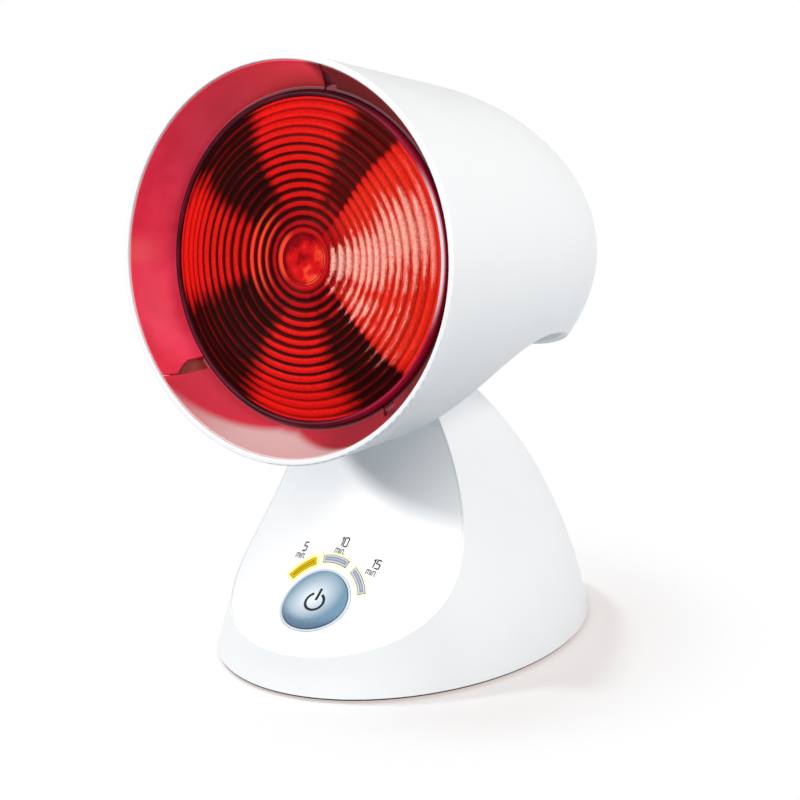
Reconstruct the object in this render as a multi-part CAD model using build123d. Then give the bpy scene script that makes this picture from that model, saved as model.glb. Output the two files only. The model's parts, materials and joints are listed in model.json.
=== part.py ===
from build123d import *
from functools import cache
from math import asin, atan2, cos, degrees, hypot, radians, sin, sqrt, tan
import os

# Infrared heat therapy lamp: a bullet-shaped shade with a screw-in infrared bulb, tilting on a
# hollow stand with a timer panel. Lengths are millimetres and angles degrees. X is to the right,
# -Y is where the lamp shines and Z is up. The origin is on the floor under the lamp's middle.
# Head pieces are drawn in the head's own frame: Z runs back along the lamp's axis from the rim,
# X is to the right and Y is down.

# ---- shared fits
FIT = 0.1                    # gap between fixed pieces that slide together
RUN = 0.05                   # radial gap of a pin or a screw in its hole
SIDE_GAP = 0.3               # gap between pieces that move past each other

# ---- shade
RIM_AROUND = 12.9            # rim's outside beyond the bulb, all round
SHADE_WALL = 2.3
TAPER = 6.9                  # taper of the straight part, degrees
TAPER_LENGTH = 79.4          # length of the straight part along the axis
SHOULDER_R = 169.6           # arc from the straight part to the tail
TAIL_R = 41.7                # ball-shaped tail
RIM_ROUND = 0.6
ARCH_APEX_BACK = 93.4        # highest line of the arch under the shade, behind the rim
ARCH_APEX_DROP = 21.5        # and below the lamp's axis
ARCH_FRONT_R = 52.8
ARCH_BACK_R = 121.8
TILT = 10.4                  # how far the lamp's axis rises towards the front, at rest

# ---- tail vent
VENT_R = 20.0
VENT_CAP_WALL = 1.8
VENT_LIP = 2.5               # how far the cap's lip reaches behind the shade's wall
VENT_SLOT = 2.6
VENT_PITCH = 5.2
VENT_SLOTS = 6
VENT_FRAME = 3.0             # width of the plain border

# ---- liner
LINER_T = 1.2
LINER_FRONT = 1.2            # front edge behind the rim
LINER_DEPTH = 16.5           # rear edge behind the rim
LINER_LIP = 6.0              # length of the lip on the shade's wall
LINER_BOW = 1.0              # how far the funnel bows outwards
LINER_BULB_GAP = 1.2         # gap round the bulb's rim
LINER_STEP = 3.0             # turn of the step in each joint, degrees
LINER_JOINT = 0.5            # half width of a joint, degrees
LINER_JOINTS = (90.0, 225.0, 315.0)   # seen from the front, turning from the right to the top

# ---- bulb
BULB_R = 60.5
LENS_SETBACK = 15.0          # edge of the lens behind the rim
LENS_BULGE = 6.0             # how far the lens bulges forwards
LENS_T = 3.0
LENS_BORDER = 3.5            # plain edge round the ribs
LENS_EYE_R = 10.4            # plain middle
LENS_RIBS = 15
LENS_RIB_H = 0.4
BULB_RIM_DEPTH = 8.0         # width of the bulb's rim
BULB_SHOULDER = 1.5          # bowl is this much smaller than the rim it leaves
BULB_NECK_R = 21.0
BULB_BOWL_LENGTH = 65.0
BULB_NECK_LENGTH = 18.0
BULB_NECK_END_R = 17.5
BULB_GLASS = 2.2
CAP_SKIRT_LENGTH = 10.0
CAP_R = 13.2
CAP_LENGTH = 22.0
CAP_PITCH = 3.63
CAP_THREAD_H = 0.9
CAP_WALL = 0.6
TIP_LENGTH = 5.0
TIP_GAP = 0.2                # insulator inside the cap's shell
CONTACT_R = 5.0
CONTACT_T = 2.0
FILAMENT_BACK = 47.0         # filament behind the lens's edge
FILAMENT_R = 1.2
FILAMENT_LENGTH = 22.0
LEAD_R = 0.5

# ---- bulb housing under the arch
COVER_WALL = 2.0
BELLY_AIR = 2.0              # gap between bulb and housing
BELLY_WALL = 1.8
COVER_SCREW_X = 45.0         # front screws
COVER_SCREW_BACK = 75.0
TAIL_SCREW_X = 31.0          # rear screws
TAIL_SCREW_BACK = 128.0
COVER_BOSS = 8.0             # side of a square boss
COVER_BOSS_H = 10.0

# ---- lamp holder
HOLDER_WALL = 5.9
CAP_GAP = 0.65               # cap in the threaded sleeve
HOLDER_LAP = 20.0            # holder over the bulb's cap
HOLDER_FLOOR = 6.0
SLEEVE_WALL = 0.7
SLEEVE_LENGTH = 20.0
HOLDER_CONTACT_R = 4.0
STRAP_T = 2.0
STRAP_EDGE = 3.7             # strap beyond the middle of its screws
STRAP_WIDTH = 22.0
STRAP_BOSS_R = 4.0
HOLDER_SCREW_X = 9.0

# ---- hinge
PIVOT_Z = 94.0
RIM_AHEAD = 71.3             # rim centre ahead of the pivot
RIM_ABOVE = 68.4             # rim centre above the pivot
PIN_R = 3.0
TONGUE_T = 10.0
TONGUE_R = 9.0
TONGUE_WIDTH = 15.0
WASHER_T = 1.0
WASHER_R = 8.0
EAR_T = 8.0
EAR_HALF_WIDTH = 13.0
EAR_DEPTH = 16.0             # ear below the pivot
SWING = 20.0                 # tilt either way
KNUCKLE_R = 14.0             # stand's crown around the pivot
KNUCKLE_TURN = 60.0          # knuckle's arc ahead of its top, degrees
CROWN_STEP = 2.0             # front face ends this far above the pivot
CROWN_SLOPE = 11.0           # crown falls towards the back, degrees
CRADLE_T = 3.0
CRADLE_FRONT = 74.0          # cradle's front edge behind the rim
CRADLE_BACK = 92.0
CRADLE_HALF = 36.0
CRADLE_SCREW_X = 31.5
CRADLE_BOSS_R = 3.6
CRADLE_BOSS_H = 8.0
PIN_HEAD_R = 5.0
PIN_HEAD_T = 3.0
NUT_R = 5.0
NUT_T = 4.0

# ---- stand: half width, half depth and middle behind the pivot, at five heights
STAND_LEVELS = (0.0, 30.5, 66.0, 101.5, 142.0)
HALF_WIDTHS = (64.2, 54.5, 40.3, 27.1, 5.8)
HALF_DEPTHS = (85.1, 78.5, 67.5, 45.2, 15.1)
MIDDLES = (3.6, 2.9, -5.5, -20.4, -36.8)
STAND_WALL = 2.3
SHELL_LIFT = 1.5             # shell's edge above the floor
# front face in side view, from the toe up: distance ahead of the pivot, and height
FRONT_CURVE = ((96.7, 10.2), (65.2, 20.3), (47.7, 32.5), (34.9, 48.7), (25.4, 71.0), (22.8, 101.5))
FRONT_TOP = 125.0            # above the crown
FRONT_AXIS = 53.3            # upright axis of the front face's crown, behind the pivot

# ---- control panel
PANEL_T = 1.0
PANEL_TOP = 92.0
PANEL_BORDER = 0.5           # shell's edge around the panel
FRONT_WALL = 2.0             # shell's wall behind the panel
BUTTON_Z = 27.4
BUTTON_R = 12.9
BUTTON_PROUD = 0.6
BUTTON_GAP = 0.3
BUTTON_DEPTH = 5.0
BUTTON_TRAVEL = 0.8
BUTTON_FLANGE = 1.4
BUTTON_FLANGE_T = 1.0
BUTTON_STEM_R = 3.0
BEZEL_WIDTH = 0.9
BEZEL_PROUD = 0.3
GUIDE_GAP = 2.7              # light guides beyond the bezel
GUIDE_WIDTH = 2.9
GUIDE_HALF_SPAN = 17.5
GUIDE_STEP = 45.5            # turn from one light to the next
GUIDE_PROUD = 0.15
GUIDE_LIFT = 1.6             # light guide's foot above its lamp
BOARD_DEPTH = 15.0           # board's face below the button's middle
BOARD_T = 1.6
BOARD_HALF_WIDTH = 24.0
BOARD_LOW = 13.5
BOARD_HIGH = 27.0
BOARD_SCREW_INSET = 3.5
POST_R = 2.6
SWITCH_SIDE = 12.0
SWITCH_H = 3.4
PLUNGER_R = 1.8
LED_SIDE = 3.0
LED_H = 2.4

# ---- base
PLATE_T = 2.4
PLATE_LIFT = 0.8             # plate's face above the floor
PLATE_EDGE = 0.7             # thickness of the edge that shows under the shell
PLATE_INSET = 0.6
FOOT_R = 6.5
FOOT_H = 2.0
FOOT_X = 38.0
FOOT_AHEAD = 43.0            # feet ahead of and behind the stand's middle
FOOT_BEHIND = 47.0
BASE_SCREW_X = 47.5
BASE_SCREW_Y = 31.0
BASE_BOSS_R = 4.0
BALLAST_T = 5.0
BALLAST_HALF_WIDTH = 34.0
BALLAST_FRONT = 2.0          # ahead of the stand's middle
BALLAST_BACK = 64.0
BALLAST_SCREW_INSET = 6.0
POWER_BOARD_LIFT = 6.0       # board above the ballast
POWER_BOARD_HALF = 28.0
POWER_BOARD_FRONT = 4.0      # behind the stand's middle
POWER_BOARD_BACK = 56.0
RELAY_SIZE = (15.0, 19.0, 15.5)
RELAY_X = -12.0
CAPACITOR_SIZE = (9.0, 26.0, 17.0)
CAPACITOR_X = 14.0
PART_EDGE = 3.0              # parts from the board's front edge
TERMINAL_SIZE = (20.0, 8.0, 10.0)
FUSE_R = 2.6
FUSE_LENGTH = 20.0
GLAND_Z = 16.0
GLAND_R = 5.0
GLAND_BORE_R = 3.2
GLAND_FLANGE_R = 7.5
GLAND_FLANGE_T = 1.6
GLAND_LENGTH = 12.0
GLAND_NUT_T = 3.0

# ---- screws
SCREW_R = 1.5
SCREW_HEAD_R = 2.8
SCREW_HEAD_T = 1.8
COVER_SCREW_LENGTH = 8.0
BASE_SCREW_LENGTH = 10.0
BOARD_SCREW_LENGTH = 5.0

# ---- sizes worked out from the sizes above
RIM_R = BULB_R + RIM_AROUND
LENS_CLEAR_R = BULB_R - LENS_BORDER
BULB_BOWL_R = BULB_R - BULB_SHOULDER
TIP_R = CAP_R - CAP_THREAD_H - CAP_WALL - TIP_GAP
HOLDER_BORE_R = CAP_R + CAP_GAP + SLEEVE_WALL + RUN
HOLDER_R = HOLDER_BORE_R + HOLDER_WALL
BEZEL_R = BUTTON_R + BUTTON_GAP + BEZEL_WIDTH
GUIDE_INNER_R = BEZEL_R + GUIDE_GAP
GUIDE_OUTER_R = GUIDE_INNER_R + GUIDE_WIDTH
GUIDE_END = BOARD_DEPTH - LED_H - GUIDE_LIFT
STEM_END = BOARD_DEPTH - SWITCH_H - 2 * BUTTON_TRAVEL
STRAP_SCREW_X = VENT_R + VENT_LIP + STRAP_BOSS_R + SIDE_GAP
STRAP_HALF = STRAP_SCREW_X + STRAP_EDGE

# ---- places worked out from the sizes above
RIM_TILT = radians(TILT)
TAPER_A = radians(TAPER)
SHOULDER_START = RIM_R - TAPER_LENGTH * tan(TAPER_A)
SHOULDER_S = TAPER_LENGTH - SHOULDER_R * sin(TAPER_A)
SHOULDER_X = SHOULDER_START - SHOULDER_R * cos(TAPER_A)
TAIL_S = SHOULDER_S + sqrt((SHOULDER_R - TAIL_R) ** 2 - SHOULDER_X ** 2)
RIM_Y = (RIM_R * sin(RIM_TILT) - TAIL_S * cos(RIM_TILT) - TAIL_R) / 2
PIVOT_Y = RIM_Y + RIM_AHEAD
RIM_Z = PIVOT_Z + RIM_ABOVE
BASE_Y = PIVOT_Y + MIDDLES[0]
HEAD = Plane(origin=(0, RIM_Y, RIM_Z), x_dir=(1, 0, 0), z_dir=(0, cos(RIM_TILT), -sin(RIM_TILT)))
LENS_FRONT = LENS_SETBACK - LENS_BULGE
BOWL_START = LENS_SETBACK + BULB_RIM_DEPTH
BOWL_END = BOWL_START + BULB_BOWL_LENGTH
NECK_END = BOWL_END + BULB_NECK_LENGTH
SKIRT_END = NECK_END + CAP_SKIRT_LENGTH
CAP_END = SKIRT_END + CAP_LENGTH
TIP_END = CAP_END + TIP_LENGTH
CONTACT_END = TIP_END + CONTACT_T
HOLDER_FRONT = CAP_END - HOLDER_LAP
HOLDER_SEAT = CONTACT_END + CONTACT_T
HOLDER_BACK = HOLDER_SEAT + HOLDER_FLOOR
SLOT_HALF = TONGUE_T / 2 + WASHER_T + FIT
EAR_OUT = SLOT_HALF + EAR_T
PLATE_TOP = PLATE_LIFT + PLATE_T
BALLAST_TOP = PLATE_TOP + BALLAST_T
POWER_BOARD_Z = BALLAST_TOP + POWER_BOARD_LIFT
FAR = 400.0                  # longer than anything here


def spun(edges):
    """A solid turned about Z from edges drawn as (radius, height)."""
    return revolve(Plane.XZ * make_face(edges), Axis.Z)


def tube(outer, inner, low, high):
    ring = Circle(outer) - Circle(inner)
    return Pos(0, 0, low) * extrude(ring, high - low)


def rod(radius, low, high):
    return Pos(0, 0, low) * extrude(Circle(radius), high - low)


def block(x, y, z):
    """A box from its low and high limits along each axis."""
    size = (x[1] - x[0], y[1] - y[0], z[1] - z[0])
    middle = ((x[0] + x[1]) / 2, (y[0] + y[1]) / 2, (z[0] + z[1]) / 2)
    return Pos(*middle) * Box(*size)


def sideways(face, half):
    """A prism along X from a face drawn as (y, z)."""
    return extrude(Plane.YZ * face, half, both=True)


def placed(piece):
    """A head piece moved from the head's frame to the lamp's."""
    return HEAD.location * piece


def screw(length, radius=SCREW_R):
    """A pan-head screw that points up Z, with the underside of its head at 0."""
    return rod(SCREW_HEAD_R, -SCREW_HEAD_T, 0) + rod(radius, 0, length)


def screw_hole(length, radius=SCREW_R):
    return rod(radius + RUN, -FIT, length + FIT)


def group(pieces):
    return Compound(children=list(pieces))


# ---------------------------------------------------------------- shade
def shade_radius(s, inset=0.0):
    """Outer radius of the shade at distance s behind the rim, less a wall."""
    if s <= TAPER_LENGTH:
        return RIM_R - s * tan(TAPER_A) - inset / cos(TAPER_A)
    turn_r = SHOULDER_R - inset
    return SHOULDER_X + sqrt(turn_r ** 2 - (s - SHOULDER_S) ** 2)


@cache
def shade_form(inset=0.0, start=0.0):
    """The shade's outside, drawn in by an inset, closed flat at its start."""
    ratio = 1 / (SHOULDER_R - TAIL_R)
    to_tail = ((-SHOULDER_X) * ratio, (TAIL_S - SHOULDER_S) * ratio)
    turn_r = SHOULDER_R - inset
    ball_r = TAIL_R - inset
    centre = Vector(SHOULDER_X, SHOULDER_S)
    first = Vector(cos(TAPER_A), sin(TAPER_A))
    last = Vector(to_tail[0], to_tail[1])
    between = (first + last).normalized()
    shoulder = [centre + direction * turn_r for direction in (first, between, last)]
    ball = Vector(0, TAIL_S)
    tip = Vector(0, TAIL_S + ball_r)
    half_way = ball + (last + Vector(0, 1)).normalized() * ball_r
    mouth = Vector(RIM_R - start * tan(TAPER_A) - inset / cos(TAPER_A), start)
    axis_start = Vector(0, start)
    edges = [
        Line(axis_start, mouth),
        Line(mouth, shoulder[0]),
        ThreePointArc(*shoulder),
        ThreePointArc(shoulder[2], half_way, tip),
        Line(tip, axis_start),
    ]
    return spun(edges)


@cache
def arch_form(shrink=0.0):
    """The space under the arch: a prism along X, drawn in by a shrink."""
    front_r = ARCH_FRONT_R - shrink
    back_r = ARCH_BACK_R - shrink
    apex = Vector(ARCH_APEX_DROP + shrink, ARCH_APEX_BACK)
    front_c = Vector(ARCH_APEX_DROP + ARCH_FRONT_R, ARCH_APEX_BACK)
    back_c = Vector(ARCH_APEX_DROP + ARCH_BACK_R, ARCH_APEX_BACK)
    front_end = front_c + Vector(0, -front_r)
    front_mid = front_c + Vector(-1, -1).normalized() * front_r
    back_end = back_c + Vector(0, back_r)
    back_mid = back_c + Vector(-1, 1).normalized() * back_r
    corners = [back_end, Vector(FAR, back_end.Y), Vector(FAR, front_end.Y), front_end]
    edges = [
        ThreePointArc(front_end, front_mid, apex),
        ThreePointArc(apex, back_mid, back_end),
        Polyline(*corners),
    ]
    return sideways(make_face(edges), FAR)


@cache
def belly_form(grow=0.0):
    """The bulb's bowl and neck, grown by a gap, as a solid of revolution."""
    pull = (BULB_BOWL_R ** 2 - BULB_NECK_R ** 2) / BULB_BOWL_LENGTH
    lag = grow / 2
    wide = Vector(BULB_BOWL_R + grow, BOWL_START + lag)
    middle_r = (BULB_BOWL_R + BULB_NECK_R) / 2
    middle_s = BOWL_START + (BULB_BOWL_R - middle_r) * 2 * BULB_BOWL_R / pull
    control = Vector(middle_r + grow, middle_s + lag)
    narrow = Vector(BULB_NECK_R + grow, BOWL_END + lag)
    neck = Vector(BULB_NECK_END_R + grow, NECK_END)
    front = Vector(0, BOWL_START + lag)
    edges = [
        Line(front, wide),
        Bezier(wide, control, narrow),
        Polyline(narrow, neck, Vector(0, NECK_END), front),
    ]
    return spun(edges)


def boss_places():
    """Where the housing is screwed to the shade: x, distance behind the rim."""
    front = [(side * COVER_SCREW_X, COVER_SCREW_BACK) for side in (-1, 1)]
    tail = [(side * TAIL_SCREW_X, TAIL_SCREW_BACK) for side in (-1, 1)]
    return front + tail


def arch_drop(s):
    """How far the arch lies below the lamp's axis at distance s."""
    radius = ARCH_FRONT_R if s < ARCH_APEX_BACK else ARCH_BACK_R
    fall = sqrt(radius ** 2 - (s - ARCH_APEX_BACK) ** 2)
    return ARCH_APEX_DROP + radius - fall


def at_arch(x, s, drop, piece):
    """A piece set under the arch's surface at a place, with Z square into the surface."""
    radius = ARCH_FRONT_R if s < ARCH_APEX_BACK else ARCH_BACK_R
    lean = degrees(asin((ARCH_APEX_BACK - s) / radius))
    return Pos(x, arch_drop(s), s) * Rot(90 + lean, 0, 0) * Pos(0, 0, -drop) * piece


def screw_seat():
    """A flat seat for a screw's head."""
    return rod(SCREW_HEAD_R + FIT, -SCREW_HEAD_T, 0)


def cover_bosses():
    """Square bosses that join the shade's wall at the side."""
    bosses = []
    half = COVER_BOSS / 2
    foot = COVER_WALL + FIT
    for x, s in boss_places():
        outwards = RIM_R if x > 0 else -RIM_R
        inwards = -half if x > 0 else half
        boss = block(sorted((inwards, outwards)), (-half, half), (foot, foot + COVER_BOSS_H))
        bosses.append(at_arch(x, s, 0, boss))
    return bosses


def shade_shell():
    skin = shade_form() - shade_form(SHADE_WALL, -1) - arch_form()
    rim = [edge for edge in skin.edges().filter_by(GeomType.CIRCLE) if abs(edge.center().Z) < FIT]
    skin = fillet(rim, RIM_ROUND)
    added = cover_bosses()
    holes = [at_arch(x, s, 0, screw_hole(COVER_SCREW_LENGTH)) for x, s in boss_places()]
    for side in (-1, 1):
        across = Pos(side * STRAP_SCREW_X, 0, 0)
        added.append(across * rod(STRAP_BOSS_R, HOLDER_BACK + STRAP_T, FAR))
        holes.append(across * Pos(0, 0, HOLDER_BACK) * screw_hole(COVER_SCREW_LENGTH))
    for boss in added:
        skin += boss & shade_form(SHADE_WALL / 2)
    holes.append(rod(VENT_R, TAIL_S, FAR))
    return placed(skin - holes)


def rear_vent_cap():
    disc = rod(VENT_R - FIT, TAIL_S, FAR)
    border = disc - rod(VENT_R - VENT_FRAME, 0, FAR)
    lip_in = SHADE_WALL + FIT
    lip_out = lip_in + VENT_CAP_WALL
    skin = (shade_form() - shade_form(VENT_CAP_WALL)) & disc
    rim = (shade_form() - shade_form(lip_out)) & border
    ring = rod(VENT_R + VENT_LIP, TAIL_S, FAR) - rod(VENT_R - VENT_FRAME, 0, FAR)
    lip = (shade_form(lip_in) - shade_form(lip_out)) & ring
    cap = skin + rim + lip
    opening = rod(VENT_R - VENT_FRAME, 0, FAR)
    for index in range(VENT_SLOTS):
        level = (index - (VENT_SLOTS - 1) / 2) * VENT_PITCH
        slot = block((-FAR, FAR), (level - VENT_SLOT / 2, level + VENT_SLOT / 2), (TAIL_S, FAR))
        cap -= slot & opening
    return placed(cap)


# ---------------------------------------------------------------- liner
def funnel():
    """The liner before it is cut into segments."""
    front_r = shade_radius(LINER_FRONT, SHADE_WALL + RUN)
    lip_r = shade_radius(LINER_FRONT + LINER_LIP, SHADE_WALL + RUN)
    back_r = BULB_R + LINER_BULB_GAP
    front_s, back_s = LINER_FRONT, LINER_DEPTH
    face_front = Vector(front_r - LINER_T / 3, front_s)
    face_back = Vector(back_r, back_s)
    bow = Vector(back_s - front_s, front_r - back_r).normalized() * LINER_BOW
    face_mid = (face_front + face_back) * 0.5 + bow
    back_out = Vector(back_r + LINER_T, back_s)
    notch = Vector(lip_r - LINER_T, front_s + LINER_LIP)
    hollow = (back_out + notch) * 0.5 + bow
    edges = [
        ThreePointArc(face_front, face_mid, face_back),
        Line(face_back, back_out),
        ThreePointArc(back_out, hollow, notch),
        Line(notch, Vector(lip_r, front_s + LINER_LIP)),
        Line(Vector(lip_r, front_s + LINER_LIP), Vector(front_r, front_s)),
        Line(Vector(front_r, front_s), face_front),
    ]
    return spun(edges)


def wedge(start, end, low, high):
    """A pie slice around Z between two angles less than 180 degrees apart."""
    middle = (start + end) / 2
    reach = 2 * RIM_R
    corners = [(0, 0)] + [(reach * cos(radians(a)), reach * sin(radians(a))) for a in (start, middle, end)]
    return Pos(0, 0, low) * extrude(make_face(Polyline(*corners, close=True)), high - low)


def liner_segment(first, last):
    """The liner between two joints, each with a step half way along."""
    start = LINER_JOINT - last
    end = -LINER_JOINT - first
    step_s = (LINER_FRONT + LINER_DEPTH) / 2
    ring = funnel()
    near = ring & wedge(start, end, 0, step_s)
    far = ring & wedge(start + LINER_STEP, end + LINER_STEP, step_s, FAR)
    return placed(near + far)


def liner_left():
    return liner_segment(LINER_JOINTS[0], LINER_JOINTS[1])


def liner_bottom():
    return liner_segment(LINER_JOINTS[1], LINER_JOINTS[2])


def liner_right():
    return liner_segment(LINER_JOINTS[2], LINER_JOINTS[0] + 360)


# ---------------------------------------------------------------- bulb
def bulb_lens():
    """Pressed lens with round ribs between its plain eye and its edge."""
    sphere_r = (LENS_CLEAR_R ** 2 + LENS_BULGE ** 2) / (2 * LENS_BULGE)
    centre_s = LENS_FRONT + sphere_r

    def face_at(radius):
        return centre_s - sqrt(sphere_r ** 2 - radius ** 2)

    pitch = (LENS_CLEAR_R - LENS_EYE_R) / LENS_RIBS
    eye = Vector(LENS_EYE_R, face_at(LENS_EYE_R))
    edges = [ThreePointArc(Vector(0, LENS_FRONT), Vector(LENS_EYE_R / 2, face_at(LENS_EYE_R / 2)), eye)]
    for index in range(LENS_RIBS):
        inner = LENS_EYE_R + index * pitch
        outer = inner + pitch
        crest = (inner + outer) / 2
        a = Vector(inner, face_at(inner))
        b = Vector(outer, face_at(outer))
        edges.append(ThreePointArc(a, Vector(crest, face_at(crest) - LENS_RIB_H), b))
    edge = Vector(LENS_CLEAR_R, face_at(LENS_CLEAR_R))
    outer_front = Vector(BULB_R, LENS_SETBACK)
    outer_back = Vector(BULB_R, LENS_SETBACK + LENS_T)
    inner_back = Vector(LENS_CLEAR_R, LENS_SETBACK + LENS_T)
    back_eye = Vector(0, LENS_FRONT + LENS_T)
    back_mid = Vector(LENS_CLEAR_R / 2, face_at(LENS_CLEAR_R / 2) + LENS_T)
    edges += [
        Line(edge, outer_front),
        Line(outer_front, outer_back),
        Line(outer_back, inner_back),
        ThreePointArc(inner_back, back_mid, back_eye),
        Line(back_eye, Vector(0, LENS_FRONT)),
    ]
    return placed(spun(edges))


def bulb_reflector():
    rim = rod(BULB_R, LENS_SETBACK + LENS_T, BOWL_START + FIT)
    outside = rim + belly_form()
    bowl = belly_form(-BULB_GLASS) & rod(FAR, 0, NECK_END - BULB_GLASS)
    mouth = rod(BULB_BOWL_R - BULB_GLASS, 0, BOWL_START + FIT)
    return placed(outside - bowl - mouth)


def bulb_cap():
    """Metal skirt and threaded shell. The thread is drawn as rings."""
    root_r = CAP_R - CAP_THREAD_H
    inner_r = root_r - CAP_WALL
    rings = int(CAP_LENGTH // CAP_PITCH)
    start = Vector(BULB_NECK_END_R, NECK_END)
    shoulder = Vector(BULB_NECK_END_R, SKIRT_END - CAP_THREAD_H)
    edges = [Polyline(start, shoulder, Vector(root_r, SKIRT_END))]
    for index in range(rings):
        low = SKIRT_END + index * CAP_PITCH
        high = low + CAP_PITCH
        crest = Vector(CAP_R, (low + high) / 2)
        edges.append(ThreePointArc(Vector(root_r, low), crest, Vector(root_r, high)))
    last = Vector(root_r, SKIRT_END + rings * CAP_PITCH)
    rest = [last, Vector(root_r, CAP_END), Vector(inner_r, CAP_END), Vector(inner_r, NECK_END), start]
    edges.append(Polyline(*rest))
    return placed(spun(edges))


def cap_insulator():
    edges = [
        Line((0, CAP_END), (TIP_R, CAP_END)),
        Line((TIP_R, CAP_END), (CONTACT_R, TIP_END)),
        Line((CONTACT_R, TIP_END), (0, TIP_END)),
        Line((0, TIP_END), (0, CAP_END)),
    ]
    return placed(spun(edges))


def cap_contact():
    return placed(rod(CONTACT_R, TIP_END, CONTACT_END))


def filament():
    """Coiled tungsten wire, drawn as a rod across the bulb."""
    place = LENS_SETBACK + FILAMENT_BACK
    coil = Rot(0, 90, 0) * rod(FILAMENT_R, -FILAMENT_LENGTH / 2, FILAMENT_LENGTH / 2)
    return placed(Pos(0, 0, place) * coil)


def filament_stem():
    """Two lead wires on a glass stem at the end of the neck."""
    place = LENS_SETBACK + FILAMENT_BACK
    stem = rod(BULB_NECK_END_R / 2, NECK_END - BULB_GLASS - BULB_NECK_LENGTH / 2, NECK_END - BULB_GLASS)
    wire = rod(LEAD_R, place + FILAMENT_R + FIT, NECK_END - BULB_GLASS)
    wires = [Pos(side * FILAMENT_LENGTH / 3, 0, 0) * wire for side in (-1, 1)]
    return placed(stem + wires)


# ---------------------------------------------------------------- bulb housing
def cover_skin(outer, inner_arch, belly_out, belly_in):
    """The wall between the arch and the bulb, bulging round the bulb."""
    body = outer & arch_form(-inner_arch)
    return body - belly_form(belly_in) - (arch_form() - belly_form(belly_out))


def bulb_housing():
    belly_in = BELLY_AIR
    belly_out = BELLY_AIR + BELLY_WALL
    skin = cover_skin(shade_form(SHADE_WALL + RUN), COVER_WALL, belly_out, belly_in)
    skin -= rod(BULB_R + BELLY_AIR, 0, BOWL_START + BELLY_AIR)
    skin -= rod(HOLDER_R + FIT, NECK_END, FAR)
    screws = []
    for side in (-1, 1):
        x = side * CRADLE_SCREW_X
        skin += at_arch(x, cradle_middle(), 0, rod(CRADLE_BOSS_R, COVER_WALL / 2, CRADLE_BOSS_H))
        screws.append(cradle_screw_at(x, screw_hole(COVER_SCREW_LENGTH)))
    for x, s in boss_places():
        screws.append(at_arch(x, s, 0, screw_hole(COVER_SCREW_LENGTH)))
        screws.append(at_arch(x, s, 0, screw_seat()))
    return placed(skin - screws)


def cradle_middle():
    return (CRADLE_FRONT + CRADLE_BACK) / 2


def cradle_screw_at(x, piece):
    return at_arch(x, cradle_middle(), CRADLE_T + FIT, piece)


def housing_screws():
    return placed(group([at_arch(x, s, 0, screw(COVER_SCREW_LENGTH)) for x, s in boss_places()]))


# ---------------------------------------------------------------- lamp holder
def lamp_holder():
    body = rod(HOLDER_R, HOLDER_FRONT, HOLDER_BACK)
    edge = body.edges().filter_by(GeomType.CIRCLE).sort_by(Axis.Z)[0]
    body = chamfer(edge, 2 * SLEEVE_WALL)
    body -= rod(HOLDER_BORE_R, HOLDER_FRONT, HOLDER_SEAT)
    body -= rod(BULB_NECK_END_R + FIT, HOLDER_FRONT, SKIRT_END + FIT)
    for side in (-1, 1):
        hole = Pos(side * HOLDER_SCREW_X, 0, HOLDER_BACK + STRAP_T) * Rot(180, 0, 0)
        body -= hole * screw_hole(BOARD_SCREW_LENGTH)
    return placed(body)


def holder_sleeve():
    outer = HOLDER_BORE_R - RUN
    return placed(tube(outer, outer - SLEEVE_WALL, CAP_END - SLEEVE_LENGTH, CAP_END))


def holder_contact():
    return placed(rod(HOLDER_CONTACT_R, CONTACT_END + RUN, HOLDER_SEAT))


def holder_strap():
    low, high = HOLDER_BACK, HOLDER_BACK + STRAP_T
    strap = block((-STRAP_HALF, STRAP_HALF), (-STRAP_WIDTH / 2, STRAP_WIDTH / 2), (low, high))
    strap = fillet(strap.edges().filter_by(Axis.Z), STRAP_WIDTH / 8)
    for side in (-1, 1):
        strap -= Pos(side * STRAP_SCREW_X, 0, low) * screw_hole(STRAP_T)
        strap -= Pos(side * HOLDER_SCREW_X, 0, low) * screw_hole(STRAP_T)
    return placed(strap)


def holder_screws():
    screws = []
    for side in (-1, 1):
        screws.append(Pos(side * STRAP_SCREW_X, 0, HOLDER_BACK) * screw(COVER_SCREW_LENGTH))
        back = Pos(side * HOLDER_SCREW_X, 0, HOLDER_BACK + STRAP_T) * Rot(180, 0, 0)
        screws.append(back * screw(BOARD_SCREW_LENGTH))
    return placed(group(screws))


# ---------------------------------------------------------------- hinge
def hinge_arm():
    """A cradle screwed under the housing, with a tongue down to the pivot."""
    belly = BELLY_AIR + BELLY_WALL
    room = arch_form(FIT) - belly_form(belly + FIT)
    under = arch_form(CRADLE_T + FIT) - belly_form(belly + CRADLE_T + FIT)
    strip = block((-CRADLE_HALF, CRADLE_HALF), (0, FAR), (CRADLE_FRONT, CRADLE_BACK))
    cradle = (room - under) & strip
    half = TONGUE_WIDTH / 2
    upright = block((-TONGUE_T / 2, TONGUE_T / 2), (PIVOT_Y - half, PIVOT_Y + half), (PIVOT_Z, RIM_Z))
    arm = upright + pivot_rod(TONGUE_R, TONGUE_T / 2)
    arm = arm & placed(room)
    arm += placed(cradle)
    for side in (-1, 1):
        x = side * CRADLE_SCREW_X
        arm -= placed(cradle_screw_at(x, screw_hole(COVER_SCREW_LENGTH)))
        arm -= placed(cradle_screw_at(x, screw_seat()))
    arm -= pivot_rod(PIN_R + RUN, FAR)
    return arm


def pivot_rod(radius, half, start=None):
    """A round bar along X on the pivot's axis."""
    low = -half if start is None else start
    return Pos(0, PIVOT_Y, PIVOT_Z) * Rot(0, 90, 0) * rod(radius, low, half)


def cradle_screws():
    one = screw(COVER_SCREW_LENGTH)
    return placed(group([cradle_screw_at(side * CRADLE_SCREW_X, one) for side in (-1, 1)]))


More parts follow.
